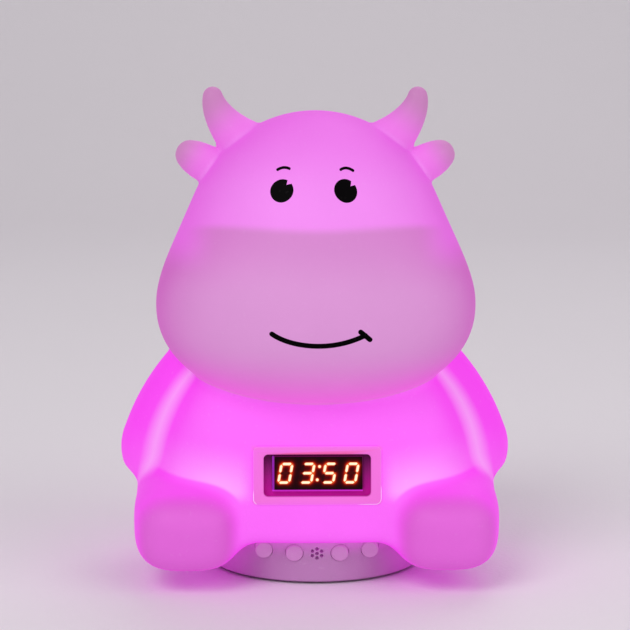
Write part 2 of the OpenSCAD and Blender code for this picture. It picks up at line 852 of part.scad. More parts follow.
module plunger_far_left() { plunger(-button_far_x); }
module plunger_near_left() { plunger(-button_near_x); }
module plunger_near_right() { plunger(button_near_x); }
module plunger_far_right() { plunger(button_far_x); }

module push_switches() {
    half = switch_w / 2;
    leg = 0.7;
    leg_show = 0.6;
    color([0.25, 0.25, 0.27])
        at_front()
            for (place = button_places)
                translate([place[1], 0, 0])
                    difference() {
                        union() {
                            block([-half, switch_from, -half], [half, button_board_from, half]);
                            for (x = [-1, 1], z = [-1, 1])
                                translate([x * switch_leg_x, 0, z * switch_leg_z])
                                    block([-leg / 2, button_board_from - rooted, -leg / 2],
                                        [leg / 2, button_board_from + pcb_t + leg_show, leg / 2]);
                        }
                        bar_y(plunger_r + slide_gap, switch_from - past,
                            plunger_from + plunger_l + button_travel + slide_gap);
                    }
}

module button_board() {
    leg_hole = 0.9;
    color([0.1, 0.4, 0.2])
        at_front()
            difference() {
                block([-button_board_l / 2, button_board_from, -button_board_low],
                    [button_board_l / 2, button_board_from + pcb_t, button_board_high]);
                for (place = button_places, x = [-1, 1], z = [-1, 1])
                    translate([place[1] + x * switch_leg_x, 0, z * switch_leg_z])
                        block([-leg_hole / 2, button_board_from - past, -leg_hole / 2],
                            [leg_hole / 2, button_board_from + pcb_t + past, leg_hole / 2]);
                for (s = [-1, 1])
                    translate([s * button_screw_x, 0, button_screw_z])
                        bar_y(button_screw_r + fit, button_board_from - past,
                            button_board_from + pcb_t + past, 24);
            }
}

module button_board_screws() {
    color([0.7, 0.7, 0.72])
        at_front()
            for (s = [-1, 1])
                translate([s * button_screw_x, button_board_from + pcb_t, button_screw_z])
                    rotate([90, 0, 0]) screw_up(button_screw_r, button_screw_l);
}

module alarm_buzzer() {
    port_r = 1.2;
    below = 1;
    rim_in = 0.8;
    rim_t = 0.4;
    floor_t = 1;
    front = button_board_from - buzzer_h;
    color([0.12, 0.12, 0.13])
        at_front() translate([0, 0, -below])
            difference() {
                union() {
                    bar_y(buzzer_d / 2, front, button_board_from);
                    bar_y(buzzer_d / 2 - rim_in, front - rim_t, button_board_from);
                }
                bar_y(port_r, front - past, button_board_from - floor_t, 24);
            }
}

// ---------------------------------------------------------------- main board

module main_board() {
    color([0.1, 0.4, 0.2])
        difference() {
            union() {
                block([-main_w / 2, -main_front, board_z], [main_w / 2, main_back, board_top]);
                block([-tab_w / 2, main_back - past, board_z], [tab_w / 2, tab_back, board_top]);
                block([tab_w / 2 - past, main_back - past, board_z],
                    [slider_x + power_w / 2, power_back, board_top]);
            }
            for (x = [-main_post_x, main_post_x], y = main_post_y)
                translate([x, y, board_z - past])
                    cylinder(r = small_screw_r + fit, h = pcb_t + 2 * past, $fn = 24);
        }
}

// Plug-in connectors: their size and their places on the main board
cable_plug = [5.5, 3.6, 3];
display_plug = [cable_x, -6];
light_plug = [-14.6, -1];
battery_plug = [-15.5, 9];
button_plug = [0, -15];

// Chips, coil and capacitor, each as [centre, size], and the connectors
module main_board_parts() {
    chips = [[[3, 6], [7, 7, 1]], [[-4, 16], [5, 5, 1]], [[8, 18], [5, 5, 2.4]],
        [[12, 2], [3.2, 2.5, 1.2]], [[-3, -4], [4, 5, 1.4]], [[10, -9], [3.2, 1.6, 1.1]]];
    color([0.15, 0.15, 0.16])
        for (chip = chips)
            translate([chip[0].x - chip[1].x / 2, chip[0].y - chip[1].y / 2, board_top])
                cube(chip[1]);
    color([0.92, 0.9, 0.85])
        for (plug = [display_plug, light_plug, battery_plug, button_plug])
            translate([plug.x - cable_plug.x / 2, plug.y - cable_plug.y / 2, board_top])
                cube(cable_plug);
}

module main_board_screws() {
    color([0.7, 0.7, 0.72])
        for (x = [-main_post_x, main_post_x], y = main_post_y)
            translate([x, y, board_top]) rotate([180, 0, 0])
                screw_up(small_screw_r, pcb_t + post_h);
}

// Steel shell with a tongue inside it
module charging_socket() {
    shell_t = 0.3;
    back_t = 1.2;
    tongue = [6.6, 0.7];
    tongue_sunk = 0.7;
    back = usb_mouth - usb_l;
    color([0.75, 0.75, 0.77])
        translate([0, 0, usb_z])
            difference() {
                stadium_y(usb_w, usb_h, back, usb_mouth);
                stadium_y(usb_w - 2 * shell_t, usb_h - 2 * shell_t, back + back_t, usb_mouth + past);
            }
    color([0.1, 0.1, 0.1])
        translate([0, 0, usb_z])
            block([-tongue.x / 2, back + back_t / 2, -tongue.y / 2],
                [tongue.x / 2, usb_mouth - tongue_sunk, tongue.y / 2]);
}

module power_switch() {
    half = power_w / 2;
    track_half = (slider_travel + lever_w) / 2 + slide_gap;
    track_rise = lever_h / 2 + slide_gap;
    track_d = 2;
    color([0.72, 0.72, 0.74])
        difference() {
            block([slider_x - half, power_back - power_d, board_top],
                [slider_x + half, power_back, board_top + power_h]);
            translate([slider_x, 0, slider_z])
                block([-track_half, power_back - track_d, -track_rise],
                    [track_half, power_back + past, track_rise]);
        }
}

// Finger pad, guard plate and the lever that goes into the switch; drawn at the off end
module power_slider() {
    off = slider_x - slider_travel / 2;
    groove_w = 0.35;
    groove_pitch = 0.8;
    groove_d = 0.3;
    lever_reach = 1.8;
    guard = [5, 3];
    color([0.12, 0.12, 0.12])
        translate([off, 0, slider_z]) {
            difference() {
                block([-slider_w / 2, slider_guard_from, -slider_tall / 2],
                    [slider_w / 2, slider_tip, slider_tall / 2]);
                for (i = [-1:1])
                    translate([i * groove_pitch, 0, 0])
                        block([-groove_w / 2, slider_tip - groove_d, -slider_tall],
                            [groove_w / 2, slider_tip + past, slider_tall]);
            }
            block([-lever_w / 2, power_back - lever_reach, -lever_h / 2],
                [lever_w / 2, slider_guard_from + rooted, lever_h / 2]);
            block([-guard.x / 2, slider_guard_from, -guard.y / 2],
                [guard.x / 2, slider_guard_from + slider_guard_t, guard.y / 2]);
        }
}

// ---------------------------------------------------------------- battery

module battery() {
    seal = 1.6;
    seal_t = 0.8;
    seal_in = 2;
    middle = cell_top - cell_t / 2;
    color([0.78, 0.79, 0.8]) {
        block([cell_x[0], cell_y[0] + seal, cell_top - cell_t], [cell_x[1], cell_y[1], cell_top]);
        block([cell_x[0] + seal_in, cell_y[0], middle - seal_t / 2],
            [cell_x[1] - seal_in, cell_y[0] + seal + rooted, middle + seal_t / 2]);
    }
}

module battery_tape() {
    margin = 4;
    color([0.9, 0.88, 0.6])
        block([cell_x[0] + margin, cell_y[0] + margin, cell_top],
            [cell_x[1] - margin, cell_y[1] - margin, ceiling_z]);
}

module battery_leads() {
    pitch = 1.8;
    plug_top = board_top + cable_plug.z;
    middle = cell_top - cell_t / 2;
    for (i = [0, 1])
        color(i == 0 ? [0.8, 0.1, 0.1] : [0.1, 0.1, 0.1])
            let (x = battery_plug.x, y = battery_plug.y + (i - 0.5) * pitch)
                wire([[x, y, plug_top], [x, y, middle], [cell_x[0], y, middle]], lead_r);
}

// Flat cable from the back of the button board down to the main board
module button_cable() {
    inward = [cos(base_lean), sin(base_lean)];
    back = [-front_r, button_z] + (button_board_from + pcb_t) * inward;
    out = 1.2;
    plug_z = board_top + cable_plug.z / 2;
    color([0.85, 0.85, 0.85])
        ribbon([back, back + out * inward, [button_plug.y - cable_plug.y, plug_z],
            [button_plug.y - cable_plug.y / 2, plug_z]], button_plug.x, cable_w, cable_t);
}

// ---------------------------------------------------------------- lamp

// Half section of a drum with a rounded top edge
module drum_half(r, h, round) {
    square([r - round, h]);
    square([r, h - round]);
    translate([r - round, h - round]) circle(r = round);
}

// Milky dome over the lights, with a flange on the deck and a square neck for the display
module lamp_dome() {
    inner_r = dome_r - dome_wall;
    color([0.95, 0.95, 0.95, 0.8])
        difference() {
            union() {
                translate([0, 0, deck_z]) rotate_extrude($fn = 72)
                    intersection() {
                        drum_half(dome_r, dome_h, dome_round);
                        square([dome_r, dome_h]);
                    }
                translate([0, 0, deck_z]) cylinder(r = dome_flange_r, h = dome_flange_t, $fn = 72);
                display_neck();
            }
            translate([0, 0, deck_z - past]) rotate_extrude($fn = 72)
                intersection() {
                    drum_half(inner_r, dome_h + past - dome_wall, dome_round - dome_wall);
                    square([inner_r, dome_h + past]);
                }
            at_display() {
                block([-display_board_w / 2 + neck_rim, rim_from - past, -display_board_h / 2 + neck_rim],
                    [display_board_w / 2 - neck_rim, display_y, display_board_h / 2 - neck_rim]);
                for (s = [-1, 1])
                    translate([0, 0, s * ear_screw_z])
                        bar_y(ear_screw_r + thread_gap, holder_back - past,
                            holder_back + ear_screw_bite + past, 24);
            }
            for (a = dome_screw_angles)
                rotate(a) translate([dome_screw_ring, 0, deck_z - past])
                    cylinder(r = dome_screw_r + shank_play, h = dome_flange_t + 2 * past, $fn = 24);
        }
}

// Neck of the dome: a block up to the holder, and a rim that clamps the display's board
module display_neck() {
    at_display() {
        block([-neck_w / 2, holder_back, -neck_h / 2 + neck_lift],
            [neck_w / 2, display_y - neck_in, neck_h / 2]);
        block([-display_board_w / 2 + 2 * fit, rim_from, -display_board_h / 2 + 2 * fit],
            [display_board_w / 2 - 2 * fit, holder_back + past, display_board_h / 2 - 2 * fit]);
    }
}

module dome_screws() {
    color([0.7, 0.7, 0.72])
        for (a = dome_screw_angles)
            rotate(a) translate([dome_screw_ring, 0, deck_z + dome_flange_t]) rotate([180, 0, 0])
                screw_up(dome_screw_r, dome_screw_l);
}

module light_board() {
    color([0.95, 0.95, 0.95])
        difference() {
            translate([0, 0, light_board_z]) cylinder(r = light_board_r, h = pcb_t, $fn = 72);
            for (a = light_post_angles)
                rotate(a) translate([light_post_ring, 0, light_board_z - past])
                    cylinder(r = small_screw_r + fit, h = pcb_t + 2 * past, $fn = 24);
        }
}

module light_chips() {
    chip = 3.5;
    chip_h = 1.4;
    color([1, 0.95, 0.85])
        for (i = [0:chip_count - 1])
            rotate((i + 0.5) * 360 / chip_count)
                translate([chip_ring - chip / 2, -chip / 2, light_board_z + pcb_t])
                    cube([chip, chip, chip_h]);
}

module light_board_screws() {
    color([0.7, 0.7, 0.72])
        for (a = light_post_angles)
            rotate(a) translate([light_post_ring, 0, light_board_z + pcb_t]) rotate([180, 0, 0])
                screw_up(small_screw_r, pcb_t + light_screw_bite);
}

module light_leads() {
    pitch = 1.2;
    plug_top = board_top + cable_plug.z;
    shades = [[0.8, 0.1, 0.1], [0.1, 0.5, 0.1], [0.1, 0.2, 0.7], [0.9, 0.9, 0.9]];
    for (i = [0:3])
        color(shades[i])
            translate([light_plug.x + (i - 1.5) * pitch, light_plug.y, plug_top])
                cylinder(r = lead_r, h = light_board_z - plug_top, $fn = 16);
}

// ---------------------------------------------------------------- display

// Box behind the silicone's pad: its front is the floor of the window
module display_holder() {
    color([0.9, 0.9, 0.9])
        at_display()
            difference() {
                union() {
                    block([-holder_w / 2, skin_t, -holder_h / 2],
                        [holder_w / 2, holder_back, holder_h / 2]);
                    for (s = [-1, 1])
                        translate([0, 0, s * (ear_screw_z - rooted / 2)])
                            block([-holder_ear_w / 2, holder_back - holder_ear_t, -holder_ear_h / 2],
                                [holder_ear_w / 2, holder_back, holder_ear_h / 2]);
                }
                translate([case_shift.x, 0, case_shift.y])
                    block([-case_w / 2 - fit, 0, -case_h / 2 - fit],
                        [case_w / 2 + fit, board_seat + past, case_h / 2 + fit]);
                block([-display_board_w / 2 - fit, board_seat, -display_board_h / 2 - fit],
                    [display_board_w / 2 + fit, holder_back + past, display_board_h / 2 + fit]);
                for (s = [-1, 1])
                    translate([0, 0, s * ear_screw_z])
                        bar_y(ear_screw_r + shank_play, holder_back - holder_ear_t - past,
                            holder_back + past, 24);
            }
}

module holder_screws() {
    color([0.7, 0.7, 0.72])
        at_display()
            for (s = [-1, 1])
                translate([0, holder_back - holder_ear_t, s * ear_screw_z]) rotate([-90, 0, 0])
                    screw_up(ear_screw_r, holder_ear_t + ear_screw_bite);
}

// Corners of the black face: [low x, low z], [high x, high z]
face_low = [case_shift.x - case_w / 2 + face_margin[3], case_shift.y - case_h / 2 + face_margin[2]];
face_high = [case_shift.x + case_w / 2 - face_margin[1], case_shift.y + case_h / 2 - face_margin[0]];
face_mid = (face_low + face_high) / 2;
face_from = case_recess - glyph_t;

module display_case() {
    front_t = 2;
    color([0.95, 0.93, 0.9])
        at_display() translate([case_shift.x, 0, case_shift.y])
            difference() {
                block([-case_w / 2, case_recess, -case_h / 2],
                    [case_w / 2, case_recess + case_d, case_h / 2]);
                for (i = [0:3])
                    translate([face_mid.x - case_shift.x + (i - 1.5) * digit_pitch, 0, 0])
                        block([-digit_w / 2, case_recess + front_t, -digit_h / 2],
                            [digit_w / 2, case_recess + case_d + past, digit_h / 2]);
            }
}

module display_face() {
    color([0.05, 0.03, 0.04])
        at_display()
            difference() {
                block([face_low.x, face_from, face_low.y], [face_high.x, case_recess, face_high.y]);
                translate([0, face_from - past, 0]) glyph_extrude(glyph_t + past) {
                    glyphs([true, false], glyph_play);
                    colon(glyph_play);
                }
            }
}

// 2D shapes in the face's plane, pushed inward by a depth
module glyph_extrude(depth) {
    translate([face_mid.x, 0, face_mid.y]) rotate([90, 0, 0]) mirror([0, 0, 1])
        linear_extrude(depth) children();
}

// Segments a to g that are on for the digits 0, 3 and 5
function lit(digit) = digit == 0 ? [1, 1, 1, 1, 1, 1, 0]
    : digit == 3 ? [1, 1, 1, 1, 0, 0, 1]
    : [1, 0, 1, 1, 0, 1, 1];
shown = [0, 3, 5, 0];

// One segment as a bar with pointed ends, grown by a margin
module segment(l, grow) {
    h = segment_w / 2 + grow;
    e = l / 2 + grow;
    polygon([[-e, 0], [-e + h, h], [e - h, h], [e, 0], [e - h, -h], [-e + h, -h]]);
}

// Segment i of a digit in its place: a, b, c, d, e, f, g
module digit_segment(i, grow) {
    w = digit_w - segment_w;
    h = digit_h - segment_w;
    gap = 0.3;
    places = [[0, h / 2, 0], [w / 2, h / 4, 90], [w / 2, -h / 4, 90], [0, -h / 2, 0],
        [-w / 2, -h / 4, 90], [-w / 2, h / 4, 90], [0, 0, 0]];
    place = places[i];
    l = (place[2] == 0 ? w : h / 2) - gap;
    translate([place.x, place.y]) rotate(place[2]) segment(l, grow);
}

// All segments whose state is in the list wanted, over the four digits
module glyphs(wanted, grow) {
    slant = [[1, tan(digit_slant), 0, 0], [0, 1, 0, 0], [0, 0, 1, 0], [0, 0, 0, 1]];
    for (k = [0:3], i = [0:6])
        if (len([for (state = wanted) if ((lit(shown[k])[i] == 1) == state) 1]) > 0)
            translate([(k - 1.5) * digit_pitch, 0]) multmatrix(slant) digit_segment(i, grow);
}

// Two dots between the pairs of digits
module colon(grow) {
    dot_r = 0.55;
    rise = 2.2;
    for (s = [-1, 1])
        translate([s * rise * tan(digit_slant), s * rise]) circle(r = dot_r + grow, $fn = 24);
}

module lit_segments() {
    color([1, 0.75, 0.55])
        at_display() translate([0, face_from, 0]) glyph_extrude(glyph_t) {
            glyphs([true], 0);
            colon(0);
        }
}

module dark_segments() {
    color([0.16, 0.06, 0.08])
        at_display() translate([0, face_from, 0]) glyph_extrude(glyph_t) glyphs([false], 0);
}

// Places of the two rows of pins
module at_pins() {
    for (i = [0:pin_count - 1], z = [-1, 1])
        translate([(i - (pin_count - 1) / 2) * pin_pitch, 0, z * (case_h / 2 - pin_in)]) children();
}

module display_pins() {
    pin = 0.5;
    pin_show = 0.8;
    color([0.8, 0.7, 0.4])
        at_display() at_pins()
            block([-pin / 2, case_recess + case_d, -pin / 2],
                [pin / 2, board_seat + pcb_t + pin_show, pin / 2]);
}

module display_board() {
    hole = 0.7;
    color([0.1, 0.4, 0.2])
        at_display()
            difference() {
                block([-display_board_w / 2, board_seat, -display_board_h / 2],
                    [display_board_w / 2, board_seat + pcb_t, display_board_h / 2]);
                at_pins()
                    block([-hole / 2, board_seat - past, -hole / 2],
                        [hole / 2, board_seat + pcb_t + past, hole / 2]);
            }
}

// Flat cable from the display's board through the neck and the deck's slot to its plug
module display_cable() {
    inward = [cos(display_tilt), -sin(display_tilt)];
    up = [sin(display_tilt), cos(display_tilt)];
    below = 1.5;
    sag = 3;
    over_slot = 5;
    back = [-display_y, display_z] + (board_seat + pcb_t) * inward - below * up;
    plug_top = board_top + cable_plug.z;
    color([0.85, 0.85, 0.85])
        ribbon([back, [-light_board_r + 2, back.y - sag], [display_plug.y + 1, deck_z + over_slot],
            [display_plug.y, deck_z], [display_plug.y, plug_top]], cable_x, cable_w, cable_t);
}

// ---------------------------------------------------------------- assembly

silicone_cover();
base_housing();
bottom_cover();
anti_slip_pad();
case_screws();
button_far_left();
button_near_left();
button_near_right();
button_far_right();
plunger_far_left();
plunger_near_left();
plunger_near_right();
plunger_far_right();
push_switches();
button_board();
button_board_screws();
alarm_buzzer();
button_cable();
main_board();
main_board_parts();
main_board_screws();
charging_socket();
power_switch();
power_slider();
battery();
battery_tape();
battery_leads();
lamp_dome();
dome_screws();
light_board();
light_chips();
light_board_screws();
light_leads();
display_holder();
holder_screws();
display_case();
display_face();
lit_segments();
dark_segments();
display_pins();
display_board();
display_cable();
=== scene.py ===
import bmesh
import bpy
import numpy as np
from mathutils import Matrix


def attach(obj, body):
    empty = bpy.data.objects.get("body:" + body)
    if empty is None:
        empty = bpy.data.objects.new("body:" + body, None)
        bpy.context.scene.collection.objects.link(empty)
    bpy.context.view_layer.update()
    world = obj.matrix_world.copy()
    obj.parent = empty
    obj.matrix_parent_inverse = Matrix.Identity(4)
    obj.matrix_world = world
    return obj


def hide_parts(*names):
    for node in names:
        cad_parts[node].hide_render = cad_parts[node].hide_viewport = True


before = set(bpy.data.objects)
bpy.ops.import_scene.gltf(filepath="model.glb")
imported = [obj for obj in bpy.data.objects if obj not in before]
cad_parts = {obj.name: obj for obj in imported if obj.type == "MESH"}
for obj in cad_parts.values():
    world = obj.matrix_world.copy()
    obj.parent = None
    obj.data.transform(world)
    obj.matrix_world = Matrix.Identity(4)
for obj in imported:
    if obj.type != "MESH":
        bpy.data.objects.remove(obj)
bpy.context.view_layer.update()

MM = 0.001
SKIN = 2.6


def soft_min(a, b, width):
    h = np.maximum(width - np.abs(a - b), 0) / width
    return np.minimum(a, b) - h * h * width / 4


def soft_max(a, b, width):
    return -soft_min(-a, -b, width)


def egg(p, middle, half):
    q = (p - middle) / half
    n = np.linalg.norm(q, axis=-1)
    return n * (n - 1) / np.maximum(np.linalg.norm(q / half, axis=-1), 1e-6)


def rounded_block(p, half, power):
    q = np.abs(p) / half
    return (np.sum(q**power, axis=-1) ** (1 / power) - 1) * min(half)


def taper(p, a, b, ra, rb):
    """Distance to two balls and the cone that touches both."""
    axis = b - a
    length2 = axis @ axis
    drop = ra - rb
    side2 = length2 - drop * drop
    pa = p - a
    y = pa @ axis
    z = y - length2
    x2 = np.sum((pa * length2 - y[..., None] * axis) ** 2, axis=-1)
    y2 = y * y * length2
    z2 = z * z * length2
    k = np.sign(drop) * drop * drop * x2
    end_a = np.sqrt(x2 + y2) / length2 - ra
    end_b = np.sqrt(x2 + z2) / length2 - rb
    side = (np.sqrt(x2 * side2 / length2) + y * drop) / length2 - ra
    return np.where(np.sign(z) * side2 * z2 > k, end_b, np.where(np.sign(y) * side2 * y2 < k, end_a, side))


def finger(balls, count):
    """Distance to a smooth run of tapers through balls placed from the crown: x, y, z, radius."""
    balls = np.array(balls, float) + np.append(CROWN, 0)
    at = np.linspace(0, 1, len(balls))
    curves = [np.polyfit(at, balls[:, i], len(balls) - 1) for i in range(4)]
    run = np.stack([np.polyval(c, np.linspace(0, 1, count + 1)) for c in curves], axis=-1)

    def form(p):
        return np.minimum.reduce(
            [taper(p, run[i, :3], run[i + 1, :3], run[i, 3], run[i + 1, 3]) for i in range(count)]
        )

    return form


CROWN, CROWN_HALF = np.array([0, -5.5, 109.6]), np.array([45.6, 43.5, 48.3])
MUZZLE, MUZZLE_HALF = np.array([0, -16, 92.8]), np.array([54.3, 44.85, 34.4])
TORSO, TORSO_HALF = np.array([0, -4, 34.0]), np.array([44, 55.97, 54.0])
LAP_SPREAD, LAP_FRONT, LAP_BACK = 13, -20, 2
SHOULDER, SHOULDER_R = np.array([37.8, 4, 67.0]), 15.2
HAND, HAND_R, HAND_FLOOR = np.array([49.9, 4, 39.8]), 18.5, 31
ARM_DEPTH, ARM_SWELL = 1.3, 1.4
FOOT, FOOT_HALF, FOOT_RISE = np.array([43.2, -24.9, 22.2]), np.array([18.4, 31, 15.0]), np.radians(6)
DISPLAY, TILT = np.array([0, -44.6, 39.0]), np.radians(6)
PAD_PROUD = 0.5
CHEST_Z, CHEST_LEAN = 57, np.radians(40)
CHEST_Y = DISPLAY[1] + PAD_PROUD + (CHEST_Z - DISPLAY[2]) * np.tan(TILT)
BASE_R, BASE_LOW, BASE_LEAN = 37.3, 0.8, np.radians(11)
BAND_TOP, CEILING, DECK_TOP = 15.5, 18.5, 20.5
LIP_PLAY, FOOT_CLEAR, GROOVE_IN, GROOVE_PLAY, GRIP = 0.1, 0.8, 3.7, 0.15, 2.65
# How widely forms flow into each other, and how round the cuts between them are
BROW_BLEND, ROOT_BLEND, CHIN_BLEND, ARM_BLEND, LEG_BLEND, ROOM_BLEND = 11, 1.3, 1.4, 5, 6, 4
BELLY_EDGE, CHEST_EDGE, HAND_EDGE, HEM_EDGE = 12, 8, 4.5, 5
horn = finger([[24.6, 0, 37.4, 8.1], [30.2, 0, 43.0, 6.1], [33.7, 0, 48.4, 4.6], [35.0, 0, 53.0, 3.4]], 12)
ear = finger([[33.9, 0, 28.3, 6.5], [39.1, 0, 31.0, 6.3], [42.8, 0, 33.1, 5.1]], 4)


def crown(p):
    return egg(p, CROWN, CROWN_HALF)


def muzzle(p):
    return rounded_block(p - MUZZLE, MUZZLE_HALF, 2.15)


def head(p):
    return soft_min(crown(p), muzzle(p), BROW_BLEND)


def belly(p):
    """Distance out of the belly's flat front, which leans back like the display."""
    return (DISPLAY[1] + PAD_PROUD - p[..., 1]) * np.cos(TILT) + (p[..., 2] - DISPLAY[2]) * np.sin(TILT)


def chest(p):
    """Distance out of the chest's slope, which leaves the belly's front under the chin."""
    return (CHEST_Y - p[..., 1]) * np.cos(CHEST_LEAN) + (p[..., 2] - CHEST_Z) * np.sin(CHEST_LEAN)


def torso(p):
    """Distance to the body, which spreads out sideways in front of the arms."""
    forward = np.clip((LAP_BACK - p[..., 1]) / (LAP_BACK - LAP_FRONT), 0, 1)
    spread = 1 + LAP_SPREAD / TORSO_HALF[0] * forward * forward * (3 - 2 * forward)
    narrowed = np.concatenate([p[..., :1] / spread[..., None], p[..., 1:]], axis=-1)
    return soft_max(soft_max(egg(narrowed, TORSO, TORSO_HALF), belly(p), BELLY_EDGE), chest(p), CHEST_EDGE)


def arm(p):
    q = (p - SHOULDER) / [1, ARM_DEPTH, 1]
    bone = HAND - SHOULDER
    t = np.clip(q @ bone / (bone @ bone), 0, 1)
    thick = SHOULDER_R + (HAND_R - SHOULDER_R) * t + 4 * ARM_SWELL * t * (1 - t)
    limb = np.linalg.norm(q - t[..., None] * bone, axis=-1) - thick
    return soft_max(limb, HAND_FLOOR - p[..., 2], HAND_EDGE)


def trunk(p):
    return soft_min(torso(p), arm(p), ARM_BLEND)


def along_leg(p):
    """Place in the foot's own frame, whose front is lower than its back."""
    q = p - FOOT
    c, s = np.cos(FOOT_RISE), np.sin(FOOT_RISE)
    return np.stack([q[..., 0], q[..., 1] * c + q[..., 2] * s, q[..., 2] * c - q[..., 1] * s], axis=-1)


def foot(p):
    return rounded_block(along_leg(p), FOOT_HALF, 3)


def figure(p):
    top = soft_min(soft_min(head(p), horn(p), ROOT_BLEND), ear(p), ROOT_BLEND)
    hemmed = soft_max(trunk(p), BAND_TOP + LIP_PLAY - p[..., 2], HEM_EDGE)
    return soft_min(top, soft_min(hemmed, foot(p), LEG_BLEND), CHIN_BLEND)


def cavity(p):
    body_room = np.maximum(trunk(p) + SKIN, CEILING - LIP_PLAY - p[..., 2])
    base_side = wall(BAND_TOP) + FOOT_CLEAR + SKIN - np.hypot(p[..., 0], p[..., 1])
    foot_room = np.maximum(foot(p) + SKIN, base_side)
    return soft_min(soft_min(head(p) + SKIN, body_room, ROOM_BLEND), foot_room, ROOM_BLEND)


def wall(z):
    """Radius of the base's leaning side wall at a height."""
    return BASE_R + (z - BASE_LOW) * np.tan(BASE_LEAN)


def mirrored(p):
    return np.concatenate([np.abs(p[..., :1]), p[..., 1:]], axis=-1)


def surface(form, low, high, step):
    """Quads over a form that is the same on both sides: one point in each grid cell that it crosses."""
    half = (np.arange(int(high[0] / step) + 2) + 0.5) * step
    ys = np.arange(low[1], high[1] + step, step)
    zs = np.arange(low[2], high[2] + step, step)
    value = form(np.stack(np.meshgrid(half, ys, zs, indexing="ij"), -1))
    value = np.concatenate([value[::-1], value])
    axes = [np.concatenate([-half[::-1], half]), ys, zs]
    inside = value < 0
    nx, ny, nz = (n - 1 for n in value.shape)
    corners = [(a, b, c) for a in (0, 1) for b in (0, 1) for c in (0, 1)]
    count = sum(inside[a : a + nx, b : b + ny, c : c + nz].astype(np.int8) for a, b, c in corners)
    crossed = (count > 0) & (count < 8)
    cells = np.argwhere(crossed)
    number = np.full(crossed.shape, -1)
    number[crossed] = np.arange(len(cells))
    total = np.zeros((len(cells), 3))
    cuts = np.zeros(len(cells))
    quads = []
    for axis in range(3):
        one, u, v = np.roll(np.eye(3, dtype=int), -axis, axis=0)
        for near in (0 * u, u, v, u + v):
            a = cells + near
            fa, fb = value[tuple(a.T)], value[tuple((a + one).T)]
            cut = (fa < 0) != (fb < 0)
            t = np.where(cut, fa / np.where(cut, fa - fb, 1), 0)
            place = np.stack([axes[i][a[:, i]] for i in range(3)], -1) + t[:, None] * one * step
            total += np.where(cut[:, None], place, 0)
            cuts += cut
        before, after = [slice(None)] * 3, [slice(None)] * 3
        before[axis], after[axis] = slice(None, -1), slice(1, None)
        for solid_first in (True, False):
            edge = np.argwhere((inside[tuple(before)] == solid_first) & (inside[tuple(after)] != solid_first))
            around = [edge - u - v, edge - v, edge, edge - u][:: 1 if solid_first else -1]
            quads.append(np.stack([number[tuple(c.T)] for c in around], -1))
    points = total / cuts[:, None]
    reach, flattest = 0.05, 0.2
    for _ in range(4):
        slope = np.stack(
            [form(mirrored(points + d)) - form(mirrored(points - d)) for d in reach * np.eye(3)], -1
        ) / (2 * reach)
        move = form(mirrored(points))[:, None] * slope / np.maximum(np.sum(slope**2, -1), flattest)[:, None]
        points -= np.clip(move, -step, step)
    return points, np.concatenate(quads)


def make_mesh(name, points, faces):
    mesh = bpy.data.meshes.new(name)
    mesh.from_pydata((np.asarray(points) * MM).tolist(), [], [list(map(int, f)) for f in faces])
    mesh.validate()
    mesh.update()
    piece = bpy.data.objects.new(name, mesh)
    bpy.context.scene.collection.objects.link(piece)
    return piece


def on_display(outline, depth):
    """From the display's own tilted frame, as x and z at a depth inward, to the row frame."""
    x, z = np.asarray(outline, float).T
    c, s = np.cos(TILT), np.sin(TILT)
    return DISPLAY + np.stack([x, depth * c + z * s, z * c - depth * s], -1)


def from_display(points):
    """Places in the display's own frame: beside, inward and above."""
    x, y, z = (points - DISPLAY).T
    c, s = np.cos(TILT), np.sin(TILT)
    return x, y * c - z * s, y * s + z * c


def round_frame(width, height, corner, fill):
    """Outline of a rectangle with round corners, counter-clockwise, its sides in a number of parts."""
    steps = 8
    turn = np.radians(np.linspace(0, 90, steps + 1))
    outline = []
    for i, (sx, sz) in enumerate([(1, 1), (-1, 1), (-1, -1), (1, -1)]):
        middle = np.array([sx * (width / 2 - corner), sz * (height / 2 - corner)])
        a = turn + i * np.pi / 2
        outline.append(middle + corner * np.stack([np.cos(a), np.sin(a)], -1))
    outline = np.concatenate(outline)
    parts = []
    for i, (a, b) in enumerate(zip(outline, np.roll(outline, -1, axis=0))):
        parts.append(np.linspace(a, b, fill if i % (steps + 1) == steps else 1, endpoint=False))
    return np.concatenate(parts)


def loft(rings):
    """Closed skin through rings of equal length, as points and faces."""
    n = len(rings[0])
    faces = [list(range(n))[::-1]]
    for i in range(len(rings) - 1):
        a, b = i * n, (i + 1) * n
        faces += [[a + j, a + (j + 1) % n, b + (j + 1) % n, b + j] for j in range(n)]
    faces.append([(len(rings) - 1) * n + j for j in range(n)])
    return np.concatenate(rings), faces


def plate(width, height, corner, edges, fill=1):
    """Plate in the display's frame. Each edge is a depth, and how far the outline grows there."""
    rings = []
    for depth, grow in edges:
        ring = round_frame(width + 2 * grow, height + 2 * grow, max(corner + grow, 0.05), fill)
        rings.append(on_display(ring, depth))
    return loft(rings[::-1])


def circle(count):
    turn = np.linspace(0, 2 * np.pi, count, endpoint=False)
    return np.cos(turn), np.sin(turn)


def turned(profile):
    """Solid turned about the base's axis from the radius and height of each corner."""
    c, s = circle(192)
    return loft([np.stack([r * c, r * s, 0 * c + z], -1) for r, z in profile])


def combine(piece, operation, tools):
    for tool in tools:
        cut = piece.modifiers.new("cut", "BOOLEAN")
        cut.operation, cut.object, cut.solver = operation, tool, "EXACT"
        dressed = piece.evaluated_get(bpy.context.evaluated_depsgraph_get())
        mesh = bpy.data.meshes.new_from_object(dressed)
        piece.modifiers.clear()
        piece.data = mesh
        bpy.data.objects.remove(tool)


